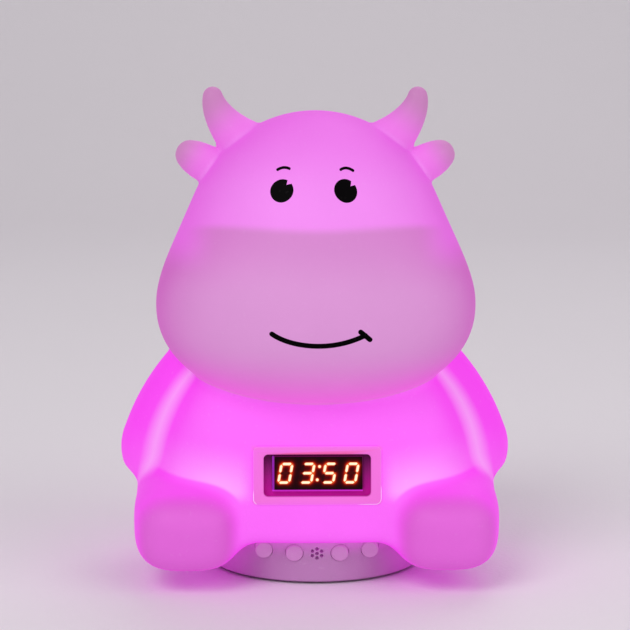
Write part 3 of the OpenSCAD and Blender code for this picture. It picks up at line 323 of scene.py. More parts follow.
low, high = [0, -63, 0], [72, 54, 169]
OUTSIDE_STEP, INSIDE_STEP = 1.1, 1.9
cover = make_mesh("silicone_figure", *surface(figure, low, high, OUTSIDE_STEP))
PAD_W, PAD_H, PAD_CORNER = 42.5, 19.4, 2
pad_edges = [(0, -0.3), (0.09, -0.09), (0.3, 0), (5, 0)]
raised_pad = make_mesh("raised_pad", *plate(PAD_W, PAD_H, PAD_CORNER, pad_edges, 24))
combine(cover, "UNION", [raised_pad])
hollow = make_mesh("hollow", *surface(cavity, low, high, INSIDE_STEP))
groove_r = wall(BAND_TOP) - GROOVE_IN + GROOVE_PLAY
lip_low, lip_high = BAND_TOP + LIP_PLAY, CEILING - LIP_PLAY
seat = [(wall(-1) + FOOT_CLEAR, -1), (wall(BAND_TOP) + FOOT_CLEAR, lip_low), (groove_r, lip_low)]
seat += [(groove_r, lip_high), (groove_r + GRIP, lip_high), (groove_r + GRIP, DECK_TOP + 2)]
lip_seat = make_mesh("lip_seat", *turned(seat))
ROOM_W, ROOM_H, ROOM_CORNER, ROOM_DEEP = 37.5, 17, 0.4, 15.9
WINDOW_W, WINDOW_H, WINDOW_CORNER = 35.5, 14, 1.5
holder_room = make_mesh("holder_room", *plate(ROOM_W, ROOM_H, ROOM_CORNER, [(SKIN, 0), (ROOM_DEEP, 0)]))
window_edges = [(-1, 0.9), (0, 0.42), (0.12, 0.16), (0.4, 0), (SKIN + 1, 0)]
window = make_mesh("window", *plate(WINDOW_W, WINDOW_H, WINDOW_CORNER, window_edges, 24))
combine(cover, "DIFFERENCE", [hollow, lip_seat, holder_room, window])


def fade(value, low, high):
    """0 below low, 1 above high, and smooth between."""
    t = np.clip((value - low) / (high - low), 0, 1)
    return t * t * (3 - 2 * t)


def places(piece):
    co = np.zeros(len(piece.data.vertices) * 3, np.float32)
    piece.data.vertices.foreach_get("co", co)
    return co.reshape(-1, 3).astype(float) / MM


def add_mask(piece, name, values):
    layer = piece.data.attributes.new(name, "FLOAT", "POINT")
    layer.data.foreach_set("value", np.asarray(values, np.float32))


def seam(a, b, width):
    """How near a place is to where two forms meet."""
    return np.maximum(width - np.abs(a - b), 0) / width


# The lamp's glow through the skin is strongest on the body, around the lamp, and fades out along
# horns and ears and through the thick soles. Over it lie painted front light, which pales the skin
# where it faces forward, painted highlights in the creases and on the pad's rim, and painted shade on
# the window's walls.
spot = places(cover)
half_spot = mirrored(spot)
normal = np.zeros(len(spot) * 3, np.float32)
cover.data.vertices.foreach_get("normal", normal)
head_at, trunk_at, foot_at = head(half_spot), trunk(half_spot), foot(half_spot)
outer, up = half_spot[:, 0], half_spot[:, 2]
tip_at = np.minimum(horn(half_spot), ear(half_spot))
add_mask(cover, "above_chin", np.clip(np.minimum(trunk_at, foot_at) - np.minimum(head_at, tip_at), -4, 4))
on_muzzle = fade(crown(half_spot) - muzzle(half_spot), -1.8, 0.9)
on_muzzle *= (1 - fade(up, 105, 117) * fade(outer, 32, 46)) * (1 - fade(spot[:, 1], -12, 16))
add_mask(cover, "on_muzzle", on_muzzle)
add_mask(cover, "chin", on_muzzle * (1 - fade(up, 58, 84)))
on_arm = fade(torso(half_spot) - arm(half_spot), -2, 6) * (up < 85)
# Share of the painted front light: less on the arms, the muzzle's top and the crown's top.
front_light_share = 1 - np.maximum(0.65 * on_arm, 0.3 * on_muzzle * fade(up, 98, 122) + 0.3 * fade(up, 125, 150))
add_mask(cover, "facing", front_light_share * fade(-normal[1::3], 0.1, 1.0))
tips = np.where(horn(half_spot) < ear(half_spot), fade(head_at, 2, 16), fade(head_at, 2.5, 13))
add_mask(cover, "tips", tips)
add_mask(cover, "sprout", fade(head_at, 0.1, 1.8))
leg = -along_leg(half_spot)[:, 1]
on_foot = fade(trunk_at - foot_at, -0.5, 5)
add_mask(cover, "on_foot", on_foot * fade(outer, 18, 34))
add_mask(cover, "sole", fade(leg, 19, 28) * on_foot)
# Painted highlight along the creases between the arms and the torso.
crease = seam(torso(half_spot), arm(half_spot), 4.8) * (1 - on_foot)
add_mask(cover, "arm_crease", crease * (1 - 0.6 * fade(spot[:, 1], -5, 15)))
add_mask(cover, "off_leg", np.clip(foot_at - trunk_at, -3, 20))
# Band beside the leg's top, for a painted highlight in the crease between belly and thigh.
add_mask(cover, "lap", fade(outer, 20, 26) * (1 - 0.85 * fade(outer, 30, 58)) * fade(up, 29, 34))
beside, inward, above = from_display(spot)
in_window = (np.abs(beside) < 18.3) & (np.abs(above) < 7.6) & (inward < 6)
# Painted shade on the skin's walls inside the window.
add_mask(cover, "window_wall", np.where(in_window, fade(inward, 0.05, 0.9), 0))
near_pad = (1 - fade(np.abs(beside), 20.6, 21.4)) * (1 - fade(np.abs(above), 9.0, 9.9)) * (inward < 4)
add_mask(cover, "thick_pad", near_pad)
over_window = fade(above, 5.8, 7.1) * (1 - fade(above, 8.0, 9.6))
add_mask(cover, "window_lip", near_pad * over_window * (1 - fade(np.abs(beside), 9, 17)))
# Thin painted highlights along the raised pad's edge, strongest at its lower corners.
out_x, out_z = np.abs(beside) - PAD_W / 2 + PAD_CORNER, np.abs(above) - PAD_H / 2 + PAD_CORNER
rim = np.hypot(np.maximum(out_x, 0), np.maximum(out_z, 0)) + np.minimum(np.maximum(out_x, out_z), 0)
on_rim = (np.abs(rim - PAD_CORNER + 0.05) < 0.12) & (inward > 0.04) & (inward < 0.42)
left_side = (beside < -20.2) * (1 - fade(above, -6.5, -4.0))
right_side = (beside > 20.5) * (1 - fade(above, -5.0, -3.0))
right_corner = (beside <= 20.5) * (above < -9) * fade(beside, 13, 15.5)
add_mask(cover, "pad_rim", on_rim * np.clip(left_side + right_side + right_corner, 0.12, 1))
cover.data.shade_smooth()
cover.data.set_sharp_from_angle(angle=np.radians(40))


class Wires:
    """Short way to add and link nodes. The shader's own sockets go by their names."""

    def __init__(self, tree, material=None):
        self.tree, self.material = tree, material

    def add(self, kind, sockets=(), **settings):
        node = self.tree.nodes.new("ShaderNode" + kind)
        for name, value in settings.items():
            setattr(node, name, value)
        for key, value in dict(sockets).items():
            self.feed(value, node.inputs[key])
        return node

    def feed(self, value, socket):
        if isinstance(socket, str):
            socket = self.tree.nodes["Principled BSDF"].inputs[socket]
        if isinstance(value, bpy.types.NodeSocket):
            self.tree.links.new(value, socket)
        else:
            socket.default_value = value

    def shine(self, colour, strength=1.0):
        self.feed(colour, "Emission Color")
        self.feed(strength, "Emission Strength")

    def mix(self, factor, a, b, blend="MIX"):
        return self.add("Mix", {0: factor, 6: a, 7: b}, data_type="RGBA", blend_type=blend).outputs[2]

    def dimmed(self, colour, share):
        return self.mix(1.0, colour, (share, share, share, 1), "MULTIPLY")

    def math(self, operation, a, b=0.0, c=0.0):
        return self.add("Math", {0: a, 1: b, 2: c}, operation=operation).outputs[0]

    def times(self, a, b):
        return self.math("MULTIPLY", a, b)

    def plus(self, a, b, share=1.0):
        return self.math("MULTIPLY_ADD", b, share, a)

    def minus(self, a, b):
        return self.math("SUBTRACT", a, b)

    def apart(self, a, b=0.0):
        """How far two values are apart."""
        return self.math("ABSOLUTE", self.minus(a, b))

    def here(self):
        return self.add("TexCoord").outputs["Object"]

    def place(self):
        """X, Y and Z of each place, in metres."""
        return self.add("SeparateXYZ", {0: self.here()}).outputs

    def range(self, value, low, high, to_low=0.0, to_high=1.0):
        sockets = {"Value": value, "From Min": low, "From Max": high, "To Min": to_low, "To Max": to_high}
        return self.add("MapRange", sockets, interpolation_type="SMOOTHSTEP").outputs[0]

    def below(self, value, low, high):
        """1 below low, 0 above high."""
        return self.range(value, low, high, 1.0, 0.0)

    def noise(self, scale, detail=2.0, at=None):
        at = self.here() if at is None else at
        return self.add("TexNoise", {"Vector": at, "Scale": scale, "Detail": detail}).outputs["Fac"]

    def mask(self, name):
        return self.add("Attribute", attribute_name=name).outputs["Fac"]

    def lay(self, under, name, over, share=1.0):
        """Colour over another where a mask says so."""
        return self.mix(self.times(self.mask(name), share), under, over)

    def ramp(self, factor, stops, interpolation="LINEAR"):
        node = self.add("ValToRGB", {"Fac": factor})
        node.color_ramp.interpolation = interpolation
        while len(node.color_ramp.elements) < len(stops):
            node.color_ramp.elements.new(0.5)
        for element, (at, colour) in zip(node.color_ramp.elements, stops):
            element.position, element.color = at, colour
        return node.outputs["Color"]


def rgb(red, green, blue):
    """A colour as it is seen, 0 to 255, for a shader's socket."""
    seen = (red, green, blue)
    return tuple(((c / 255 + 0.055) / 1.055) ** 2.4 if c > 10 else c / 3294.6 for c in seen) + (1,)


def new_group(name, inputs, *outputs):
    """Shader node group. Inputs are name: starting value, and colours are four numbers."""
    tree = bpy.data.node_groups.new(name, "ShaderNodeTree")
    for label, value in inputs.items():
        kind = "NodeSocketColor" if isinstance(value, tuple) else "NodeSocketFloat"
        tree.interface.new_socket(label, in_out="INPUT", socket_type=kind).default_value = value
    for label in ("Colour", *outputs):
        kind = "NodeSocketColor" if label == "Colour" else "NodeSocketFloat"
        tree.interface.new_socket(label, in_out="OUTPUT", socket_type=kind)
    return Wires(tree), tree.nodes.new("NodeGroupInput").outputs, tree.nodes.new("NodeGroupOutput").inputs


def new_material(name):
    material = bpy.data.materials.new(name)
    material.use_nodes = True
    return Wires(material.node_tree, material)


def use(wires, group, sockets):
    node = wires.tree.nodes.new("ShaderNodeGroup")
    node.node_tree = bpy.data.node_groups[group]
    for key, value in sockets.items():
        wires.feed(value, node.inputs[key])
    return node.outputs


def coat(wires, group, sockets, height, relief=None, own=1.0):
    """Wires what a group gives to the shader. A relief lies under a share of the group's own height."""
    done = use(wires, group, sockets)
    wires.feed(done["Colour"], "Base Color")
    wires.feed(done["Roughness"], "Roughness")
    rise = done["Height"] if relief is None else wires.plus(relief, done["Height"], own)
    bump = wires.add("Bump", {"Height": rise, "Distance": height, "Strength": 1.0})
    wires.feed(bump.outputs[0], "Normal")
    return done


def mould(wires, colour, height, size=15.0, clouds=0.05, grain=0.4, rough=0.5, dust=0.3, **more):
    """Moulded surface over a colour."""
    sockets = {"Colour": colour, "Cloud Size": size, "Clouds": clouds}
    sockets.update({"Grain Size": grain, "Rough": rough, "Dust": dust})
    return coat(wires, "moulded_surface", sockets, height, **more)["Colour"]


def split(wires, colour, lit, glow):
    """Parts of a colour that answer to light (lit) and that shine (glow)."""
    wires.feed(wires.dimmed(colour, lit), "Base Color")
    wires.shine(wires.dimmed(colour, glow))


# Surface of anything cast or moulded: soft clouds in the colour, a fine grain from the mould,
# and sparse specks of dust, which the silicone draws.
usual = {"Colour": (1, 1, 1, 1), "Cloud Size": 12.0, "Clouds": 0.05}
usual.update({"Grain Size": 0.4, "Rough": 0.5, "Dust": 0.3})
wires, given, result = new_group("moulded_surface", usual, "Roughness", "Height")
cloud = wires.noise(wires.math("DIVIDE", 1000.0, given["Cloud Size"]), 3.0)
grain = wires.noise(wires.math("DIVIDE", 1000.0, given["Grain Size"]), 1.0)
shade = wires.times(wires.minus(cloud, 0.5), given["Clouds"])
brighter = wires.plus(1.0, shade, 2.0)
clouded = wires.add("HueSaturation", {"Color": given["Colour"], "Value": brighter}).outputs[0]
specks = wires.range(wires.noise(900.0, 0.0), 0.74, 0.8)
dusty = wires.times(specks, wires.times(given["Dust"], 0.25))
wires.feed(wires.mix(dusty, clouded, rgb(235, 225, 235)), result["Colour"])
rough = wires.plus(given["Rough"], wires.minus(grain, 0.5), 0.12)
wires.feed(wires.plus(rough, dusty, 0.6), result["Roughness"])
wires.feed(grain, result["Height"])

silicone = wires = new_material("glowing_silicone")
# Painted front light: each colour below pales where the skin faces forward.
facing = wires.mask("facing")
forehead = wires.mix(facing, rgb(228, 98, 224), rgb(244, 144, 244))
snout = wires.mix(facing, rgb(206, 96, 194), rgb(219, 151, 213))
snout = wires.lay(snout, "chin", rgb(252, 116, 234), 0.8)
top = wires.lay(forehead, "on_muzzle", snout)
top = wires.lay(top, "sprout", rgb(238, 120, 231), 0.8)
top = wires.lay(top, "tips", rgb(200, 130, 188))
body = wires.mix(facing, rgb(253, 62, 247), rgb(254, 108, 253))
body = wires.lay(body, "on_foot", rgb(245, 82, 239))
body = wires.lay(body, "sole", wires.mix(facing, rgb(212, 84, 200), rgb(227, 104, 218)))
# Painted highlight in the arm creases.
body = wires.lay(body, "arm_crease", rgb(255, 172, 255), 0.75)
# Painted highlight along the crease between belly and leg.
off_leg = wires.mask("off_leg")
lap = wires.times(wires.range(off_leg, -0.2, 1.4), wires.below(off_leg, 0.0, 15.0))
lap = wires.times(lap, wires.mask("lap"))
body = wires.mix(wires.times(lap, 0.72), body, rgb(255, 176, 255))
body = wires.lay(body, "thick_pad", rgb(243, 119, 217), 0.85)
body = wires.lay(body, "window_lip", rgb(240, 96, 164), 0.85)
# Painted shade: dark purple on the window's inner walls.
body = wires.lay(body, "window_wall", rgb(158, 14, 126))
# Painted highlight on the pad's rim.
body = wires.lay(body, "pad_rim", rgb(255, 214, 255))
glow = wires.mix(wires.range(wires.mask("above_chin"), -0.4, 0.4), body, top)
split(wires, mould(wires, glow, 0.00003, size=22.0, clouds=0.04, grain=0.5, rough=0.52, dust=0.1), 0.46, 0.56)
wires.feed(0.15, "Specular IOR Level")


def wear(piece, wires, body="case"):
    """Gives a new piece its finish and the body that it rides on."""
    piece.data.materials.clear()
    piece.data.materials.append(wires.material)
    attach(piece, body)


wear(cover, silicone)
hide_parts("silicone_cover")

# ---------------- printed face
# Eyes, brows and mouth are pad-printed on the silicone in black silicone ink, in films about
# 0.06 mm thick that follow the skin. Each eye leaves a wedge of bare skin as its highlight.
INK = 0.06


def on_face(x, z):
    """Depth of the head's skin in front of places given from the front."""
    near, far = np.full(len(x), -80.0), np.full(len(x), -5.0)
    for _ in range(24):
        middle = (near + far) / 2
        outside = head(np.stack([x, middle, z], -1)) > 0
        near, far = np.where(outside, middle, near), np.where(outside, far, middle)
    return near


def outward(piece, sharp=35):
    """Turns all faces outward and keeps edges sharper than an angle crisp."""
    shape = bmesh.new()
    shape.from_mesh(piece.data)
    bmesh.ops.recalc_face_normals(shape, faces=shape.faces)
    shape.to_mesh(piece.data)
    shape.free()
    piece.data.shade_smooth()
    piece.data.set_sharp_from_angle(angle=np.radians(sharp))
    return piece


def grid_border(rows, columns):
    """Numbers of the points around a grid, once round."""
    edge = [(rows - 1) * columns + c for c in range(columns)]
    edge += [r * columns + columns - 1 for r in range(rows - 2, -1, -1)]
    return edge + [c for c in range(columns - 2, -1, -1)] + [r * columns for r in range(1, rows - 1)]


def film(name, grid, closed):
    """Printed film over a grid of places (rows, columns, x and z). Closed rows join end to end."""
    rows, columns = grid.shape[:2]
    flat = grid.reshape(-1, 2)
    y = on_face(flat[:, 0], flat[:, 1])
    front = np.stack([flat[:, 0], y - INK, flat[:, 1]], -1)
    back = front + [0, 0.3, 0]
    last = columns if closed else columns - 1
    cells = [(r * columns + c, r * columns + (c + 1) % columns) for r in range(rows - 1) for c in range(last)]
    faces = [[a, b, b + columns, a + columns] for a, b in cells]
    shift = rows * columns
    faces += [[shift + i for i in face[::-1]] for face in faces]
    edge = grid_border(rows, columns)
    if closed:
        edge = edge[:columns]
        faces.append(list(range(columns))[::-1])
        faces.append([shift + c for c in range(columns)])
    faces += [[edge[i - 1], edge[i], shift + edge[i], shift + edge[i - 1]] for i in range(len(edge))]
    return outward(make_mesh(name, np.concatenate([front, back]), faces), 50)


def eye(middle, half, lean, wedge):
    """Rings from near the middle out to the rim, with a wedge (from, tip, to, in degrees) left bare."""
    start, tip, end, depth = wedge
    turn = np.sort(np.concatenate([np.arange(0, 360, 3.0), [start, start + 0.4, tip, end - 0.4, end]]))
    a = np.radians(turn)
    rim = np.hypot(half[0] * np.cos(a - lean), half[1] * np.sin(a - lean))
    side = np.where(turn < tip, (turn - start) / (tip - start), (end - turn) / (end - tip))
    cut = 1 - (1 - depth) * np.clip(side, 0.15, 1) ** 0.7
    rim = np.where((turn > start) & (turn < end), rim * cut, rim)
    ring = rim[:, None] * np.stack([np.cos(a), np.sin(a)], -1)
    return np.array([middle + share * ring for share in (0.06, 0.25, 0.45, 0.65, 0.82, 0.94, 1.0)])


def stroke(points, width, count, across):
    """Brush stroke with round ends along a smooth line through a few places."""
    points = np.array(points, float)
    at = np.linspace(0, 1, len(points))
    order = min(len(points) - 1, 4)
    curves = [np.polyfit(at, points[:, i], order) for i in (0, 1)]
    line = np.stack([np.polyval(c, np.linspace(0, 1, count)) for c in curves], -1)
    along = np.gradient(line, axis=0)
    along /= np.linalg.norm(along, axis=1)[:, None]
    reach = width / 2
    turn = np.radians(np.linspace(6, 90, 8))
    start = line[0] - reach * np.cos(turn)[:, None] * along[0]
    end = line[-1] + reach * np.cos(turn[::-1])[:, None] * along[-1]
    wide = np.concatenate([reach * np.sin(turn), np.full(count - 2, reach), reach * np.sin(turn[::-1])])
    line = np.concatenate([start, line[1:-1], end])
    along = np.concatenate([np.repeat(along[:1], 8, 0), along[1:-1], np.repeat(along[-1:], 8, 0)])
    normal = np.stack([-along[:, 1], along[:, 0]], -1)
    steps = np.linspace(1, -1, across + 1)
    return line[:, None] + steps[None, :, None] * wide[:, None, None] * normal[:, None]


left_eye = film("left_eye", eye([-11.53, 133.05], [3.9, 3.5], 0.6, (37, 51, 60, 0.62)), True)
right_eye = film("right_eye", eye([9.25, 133.05], [3.95, 3.5], 2.4, (31, 41, 57, 0.6)), True)
BROW_WIDE, MOUTH_WIDE = 0.88, 1.65
left_line = [(-12.9, 139.65), (-10.95, 140.35), (-9.05, 140.05)]
right_line = [(7.75, 139.75), (9.65, 140.2), (11.8, 139.35)]
smile_line = [(-14.85, 88.5), (-11.25, 86.65), (-7.45, 85.45), (-3.3, 84.75), (1.2, 84.6), (5.65, 85.05)]
smile_line += [(10.15, 86.05), (15.1, 87.95)]
tick_line = [(13.6, 89.1), (15.1, 87.8), (16.6, 86.5)]
left_brow = film("left_brow", stroke(left_line, BROW_WIDE, 24, 4), False)
right_brow = film("right_brow", stroke(right_line, BROW_WIDE, 24, 4), False)
smile = film("smile", stroke(smile_line, MOUTH_WIDE, 80, 6), False)
cheek_tick = film("cheek_tick", stroke(tick_line, MOUTH_WIDE, 16, 6), False)

ink = new_material("black_print")
mould(ink, rgb(3, 2, 3), 0.00002, size=3.0, clouds=0.3, grain=0.25, dust=0.02)
ink.feed(0.02, "Specular IOR Level")
for piece in (left_eye, right_eye, left_brow, right_brow, smile, cheek_tick):
    wear(piece, ink)

# ---------------- base
# Housing and bottom cover are injection-moulded white ABS with a fine spark finish. The housing
# carries the buttons and the sound holes in front, and the socket and slider behind; the cover
# closes it from below with four screws. Magenta light from the figure is painted into the white ABS:
# a pink tint all over, stronger on its upper edge and towards its sides, and a painted glow on the
# walls of the sound holes.
# Painted magenta light from the figure, stronger towards the base's top and towards its sides.
wires, given, result = new_group("lamp_wash", {"Colour": (1.0, 1.0, 1.0, 1.0), "Strength": 1.0})
place = wires.place()
sideways = wires.range(wires.apart(place["X"]), 0.017, 0.036)
rising = wires.range(place["Z"], 0.009, 0.0165)
wash = wires.math("MAXIMUM", wires.times(sideways, 0.64), wires.times(rising, 0.8))
wash = wires.times(wash, given["Strength"])
wires.feed(wires.mix(wash, given["Colour"], rgb(250, 146, 248)), result["Colour"])


def dress(wires, *nodes):
    """Gives CAD nodes their finish."""
    for name in nodes:
        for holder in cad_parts[name].material_slots:
            holder.material = wires.material


base_abs = wires = new_material("base_abs")
# White ABS painted pink with the figure's magenta light.
washed = use(wires, "lamp_wash", {"Colour": rgb(194, 138, 191), "Strength": 1.0})
mould(wires, washed["Colour"], 0.00005, grain=0.35, rough=0.46)
# Painted magenta glow on the walls of the sound holes.
wires.shine(wires.lay(rgb(0, 0, 0), "hole_wall", rgb(100, 44, 100)))
dress(base_abs, "bottom_cover")

# ---------------- buttons
# Four domed ABS caps, smooth where the base is grained. Each has a flange that keeps it in its
# guide, and pushes the plunger of a switch that stands on the board behind the front wall.
BUTTON_Z = BAND_TOP - 4.3
FRONT_R = wall(BUTTON_Z)
BUTTON_R, EDGE_R, STEM_R = 2.9, 0.6, 1.5
FLANGE_R, FLANGE_FROM, FLANGE_T, STEM = 3.6, 10.06, 1.0, 1.2
PROUD, CROWNED = 0.6, 0.22


def front_ring(x, z, radius, depth):
    """Circle on the front wall, from the wall's own leaning frame (depth is inward) to the row frame."""
    c, s = circle(72)
    x, z = x + radius * c, z + radius * s
    c, s = np.cos(BASE_LEAN), np.sin(BASE_LEAN)
    return np.stack([x, depth * c - z * s - FRONT_R, depth * s + z * c + BUTTON_Z], -1)


# Painted magenta light: the caps are tinted pink by the lamp's light and given a painted glow.
button_abs = new_material("button_abs")
washed = use(button_abs, "lamp_wash", {"Colour": rgb(212, 144, 207), "Strength": 0.3})
moulded = mould(button_abs, washed["Colour"], 0.00001, grain=0.9, rough=0.36)
button_abs.feed(button_abs.dimmed(moulded, 0.66), "Base Color")
button_abs.shine(rgb(122, 76, 118))
for name, x in (("far_left", -17.85), ("near_left", -7.6), ("near_right", 7.6), ("far_right", 17.85)):
    proud = FRONT_R - np.sqrt(FRONT_R**2 - (abs(x) - BUTTON_R) ** 2) - PROUD
    dome = BUTTON_R - EDGE_R
    profile = [(r, proud + CROWNED * (r / dome) ** 2) for r in (0.1, 0.6, 1.1, 1.6, 2.0, dome)]
    bend = np.radians([15, 35, 55, 75, 90])
    profile += [(dome + EDGE_R * np.sin(a), proud + CROWNED + EDGE_R * (1 - np.cos(a))) for a in bend]
    profile += [(BUTTON_R, FLANGE_FROM), (FLANGE_R, FLANGE_FROM), (FLANGE_R, FLANGE_FROM + FLANGE_T)]
    profile += [(STEM_R, FLANGE_FROM + FLANGE_T), (STEM_R, FLANGE_FROM + FLANGE_T + STEM)]
    cap = outward(make_mesh(name + "_cap", *loft([front_ring(x, 0, r, y) for r, y in profile])))
    wear(cap, button_abs, name + "_button")
    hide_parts("button_" + name)

# ---------------- sound holes
# The alarm sounds through seven round holes that the mould leaves open in the housing's front
# wall: one in the middle, one above it, one below it, and two on each side.
HOUSING_SIDES, PLAIN_WALL = 124, 14
HOLE_R, HOLE_RISE, HOLE_OUT, HOLE_STEP = 0.62, 1.64, 1.55, 0.84
PATCH_R, PATCH_DEEP, HOLES_REACH = 2.8, 2.3, 2.9


def solid_copy(node, turn=0.0):
    """Closed copy of a CAD node, turned about the base's axis."""
    whole = node.matrix_world
    points = np.array([whole @ v.co for v in node.data.vertices]) / MM
    points, number = np.unique(np.round(points, 4), axis=0, return_inverse=True)
    c, s = np.cos(turn), np.sin(turn)
    points = points @ np.array([[c, s, 0], [-s, c, 0], [0, 0, 1]])
    faces = [number.ravel()[list(face.vertices)] for face in node.data.polygons]
    return make_mesh(node.name + "_copy", points, [f for f in faces if len(set(f)) == len(f)])


def front_bore(x, z, radius, low, high):
    """Round bar through the front wall, between two depths."""
    return outward(make_mesh("bore", *loft([front_ring(x, z, radius, y) for y in (high, low)])))


cad_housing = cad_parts["base_housing"]
patch = solid_copy(cad_housing, PLAIN_WALL * 2 * np.pi / HOUSING_SIDES)
combine(patch, "INTERSECT", [front_bore(0, 0, PATCH_R, -1, PATCH_DEEP)])
housing = solid_copy(cad_housing)
housing.name = housing.data.name = "housing"
combine(housing, "UNION", [patch])
holes = [(0, 0), (0, HOLE_RISE), (0, -HOLE_RISE)]
holes += [(x, z) for x in (-HOLE_OUT, HOLE_OUT) for z in (-HOLE_STEP, HOLE_STEP)]
combine(housing, "DIFFERENCE", [front_bore(x, z, HOLE_R, -1, 3) for x, z in holes])
housing.data.polygons.foreach_set("use_smooth", [True] * len(housing.data.polygons))
housing.data.set_sharp_from_angle(angle=np.radians(25))
at = places(housing)
deep = wall(at[:, 2]) - np.hypot(at[:, 0], at[:, 1])
near_holes = (np.hypot(at[:, 0], at[:, 2] - BUTTON_Z) < HOLES_REACH) & (at[:, 1] < 0)
# Where the painted glow lies: on the walls of the sound holes.
add_mask(housing, "hole_wall", near_holes * fade(deep, 0.02, 0.6))
wear(housing, base_abs)
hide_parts("base_housing")

# ---------------- switches, buzzer and button board
# Four stock push switches and the alarm's buzzer stand on a narrow board that leans with the
# front wall. Two screws hold it to posts in the housing. Bodies and plungers are black nylon.
black_nylon = new_material("black_nylon")
mould(black_nylon, rgb(36, 35, 38), 0.00004, clouds=0.15, grain=0.5)
dress(black_nylon, "plunger_far_left", "plunger_near_left", "plunger_near_right", "plunger_far_right")

wires = new_material("switch_shell")
place = wires.place()
legs = wires.range(place["Y"], -0.0236, -0.0233)
mould(wires, wires.mix(legs, rgb(52, 52, 56), rgb(196, 196, 200)), 0.00003, clouds=0.1, rough=0.42)
wires.feed(legs, "Metallic")
dress(wires, "push_switches")

wires = new_material("buzzer_shell")
turns = {"wave_type": "RINGS", "rings_direction": "Y", "wave_profile": "SIN"}
rings = wires.add("TexWave", {"Scale": 900.0, "Distortion": 0.0}, **turns).outputs["Fac"]
relief = wires.times(rings, 0.3)
mould(wires, rgb(28, 28, 30), 0.00005, clouds=0.2, grain=0.3, rough=0.38, relief=relief)
dress(wires, "alarm_buzzer")

# A bare board: solder mask over a web of copper tracks, with tinned pads and the glass cloth's weave.
usual = {"Mask": (0, 0.1, 0.03, 1), "Copper": (0, 0.2, 0.06, 1), "Pads": (0.7, 0.7, 0.68, 1), "Pitch": 2.2}
wires, given, result = new_group("printed_board", usual, "Roughness", "Metallic", "Height")
where = wires.here()
cells = wires.math("DIVIDE", 1000.0, given["Pitch"])
square = {"feature": "DISTANCE_TO_EDGE", "distance": "CHEBYCHEV"}
tracks = wires.add("TexVoronoi", {"Vector": where, "Scale": cells}, **square)
track = wires.below(tracks.outputs["Distance"], 0.1, 0.13)
spread = {"Vector": where, "Scale": wires.times(cells, 0.8), "Randomness": 0.4}
pad = wires.below(wires.add("TexVoronoi", spread).outputs["Distance"], 0.14, 0.17)
weave = wires.add("TexWave", {"Vector": where, "Scale": 1300.0, "Distortion": 1.0}).outputs["Fac"]
masked = wires.mix(track, given["Mask"], given["Copper"])
masked = wires.mix(wires.times(weave, 0.15), masked, given["Copper"])
wires.feed(wires.mix(pad, masked, given["Pads"]), result["Colour"])
wires.feed(wires.plus(0.3, weave, 0.12), result["Roughness"])
wires.feed(wires.times(pad, 0.9), result["Metallic"])
height = wires.plus(wires.times(track, 0.5), wires.times(weave, 0.1))
wires.feed(wires.plus(height, pad), result["Height"])


def board(name, mask, copper, pitch):
    wires = new_material(name)
    done = coat(wires, "printed_board", {"Mask": mask, "Copper": copper, "Pitch": pitch}, 0.00003)
    wires.feed(done["Metallic"], "Metallic")
    return wires


green_board = board("green_board", rgb(16, 84, 44), rgb(30, 118, 64), 2.2)
dress(green_board, "button_board", "main_board", "display_board")

# Zinc-plated steel: turned streaks, and a bluish passivate that varies.
usual = {"Colour": (0.6, 0.6, 0.62, 1), "Streak Size": 0.15, "Rough": 0.3}
wires, given, result = new_group("drawn_metal", usual, "Roughness", "Height")
where = wires.here()
stretched = wires.add("Mapping", {"Vector": where, "Scale": (1.0, 1.0, 0.08)}).outputs[0]
streaks = wires.noise(wires.math("DIVIDE", 1000.0, given["Streak Size"]), 2.0, stretched)
stain = wires.noise(420.0, 3.0, where)
tone = wires.plus(0.86, stain, 0.28)
toned = wires.add("HueSaturation", {"Color": given["Colour"], "Value": tone}).outputs[0]
wires.feed(wires.mix(wires.range(stain, 0.6, 0.8, 0.0, 0.25), toned, rgb(150, 165, 190)), result["Colour"])
wires.feed(wires.plus(given["Rough"], streaks, 0.2), result["Roughness"])
wires.feed(streaks, result["Height"])


def plated(name, colour, streak, rough):
    wires = new_material(name)
    coat(wires, "drawn_metal", {"Colour": colour, "Streak Size": streak, "Rough": rough}, 0.00002)
    wires.feed(1.0, "Metallic")
    return wires


zinc = plated("zinc_plated_steel", rgb(186, 188, 194), 0.15, 0.28)
dress(zinc, "case_screws", "button_board_screws", "main_board_screws")
dress(zinc, "dome_screws", "light_board_screws", "holder_screws")

# Flat cables: eight cores side by side under one grey PVC skin, so the skin is ribbed along them.
wires = new_material("flat_cable")
place = wires.place()
core = wires.math("ABSOLUTE", wires.math("SINE", wires.times(place["X"], 6283.0)))
# The grooves between the cores are painted darker, as shade.
ribbed = wires.mix(wires.range(core, 0.0, 0.35, 0.4, 0.0), rgb(196, 196, 200), rgb(120, 120, 126))
mould(wires, ribbed, 0.00012, grain=0.6, rough=0.45, relief=core)
dress(wires, "button_cable", "display_cable")

# ---------------- main board
# The main board lies on four posts of the bottom cover. On it stand epoxy chips and a coil, and
# cream nylon sockets for the plugs of the cell, lights, display and buttons.
wires = new_material("chips_and_plugs")
place = wires.place()
left_plugs = wires.below(place["X"], -0.0092, -0.009)
plugs = wires.math("MAXIMUM", left_plugs, wires.below(place["Y"], -0.0122, -0.012))
legs = wires.times(wires.below(place["Z"], 0.00678, 0.0069), wires.minus(1.0, plugs))
moulded = wires.mix(plugs, rgb(38, 38, 42), rgb(228, 220, 198))
mould(wires, wires.mix(legs, moulded, rgb(190, 190, 194)), 0.00003, grain=0.3, rough=0.48)
wires.feed(legs, "Metallic")
dress(wires, "main_board_parts")

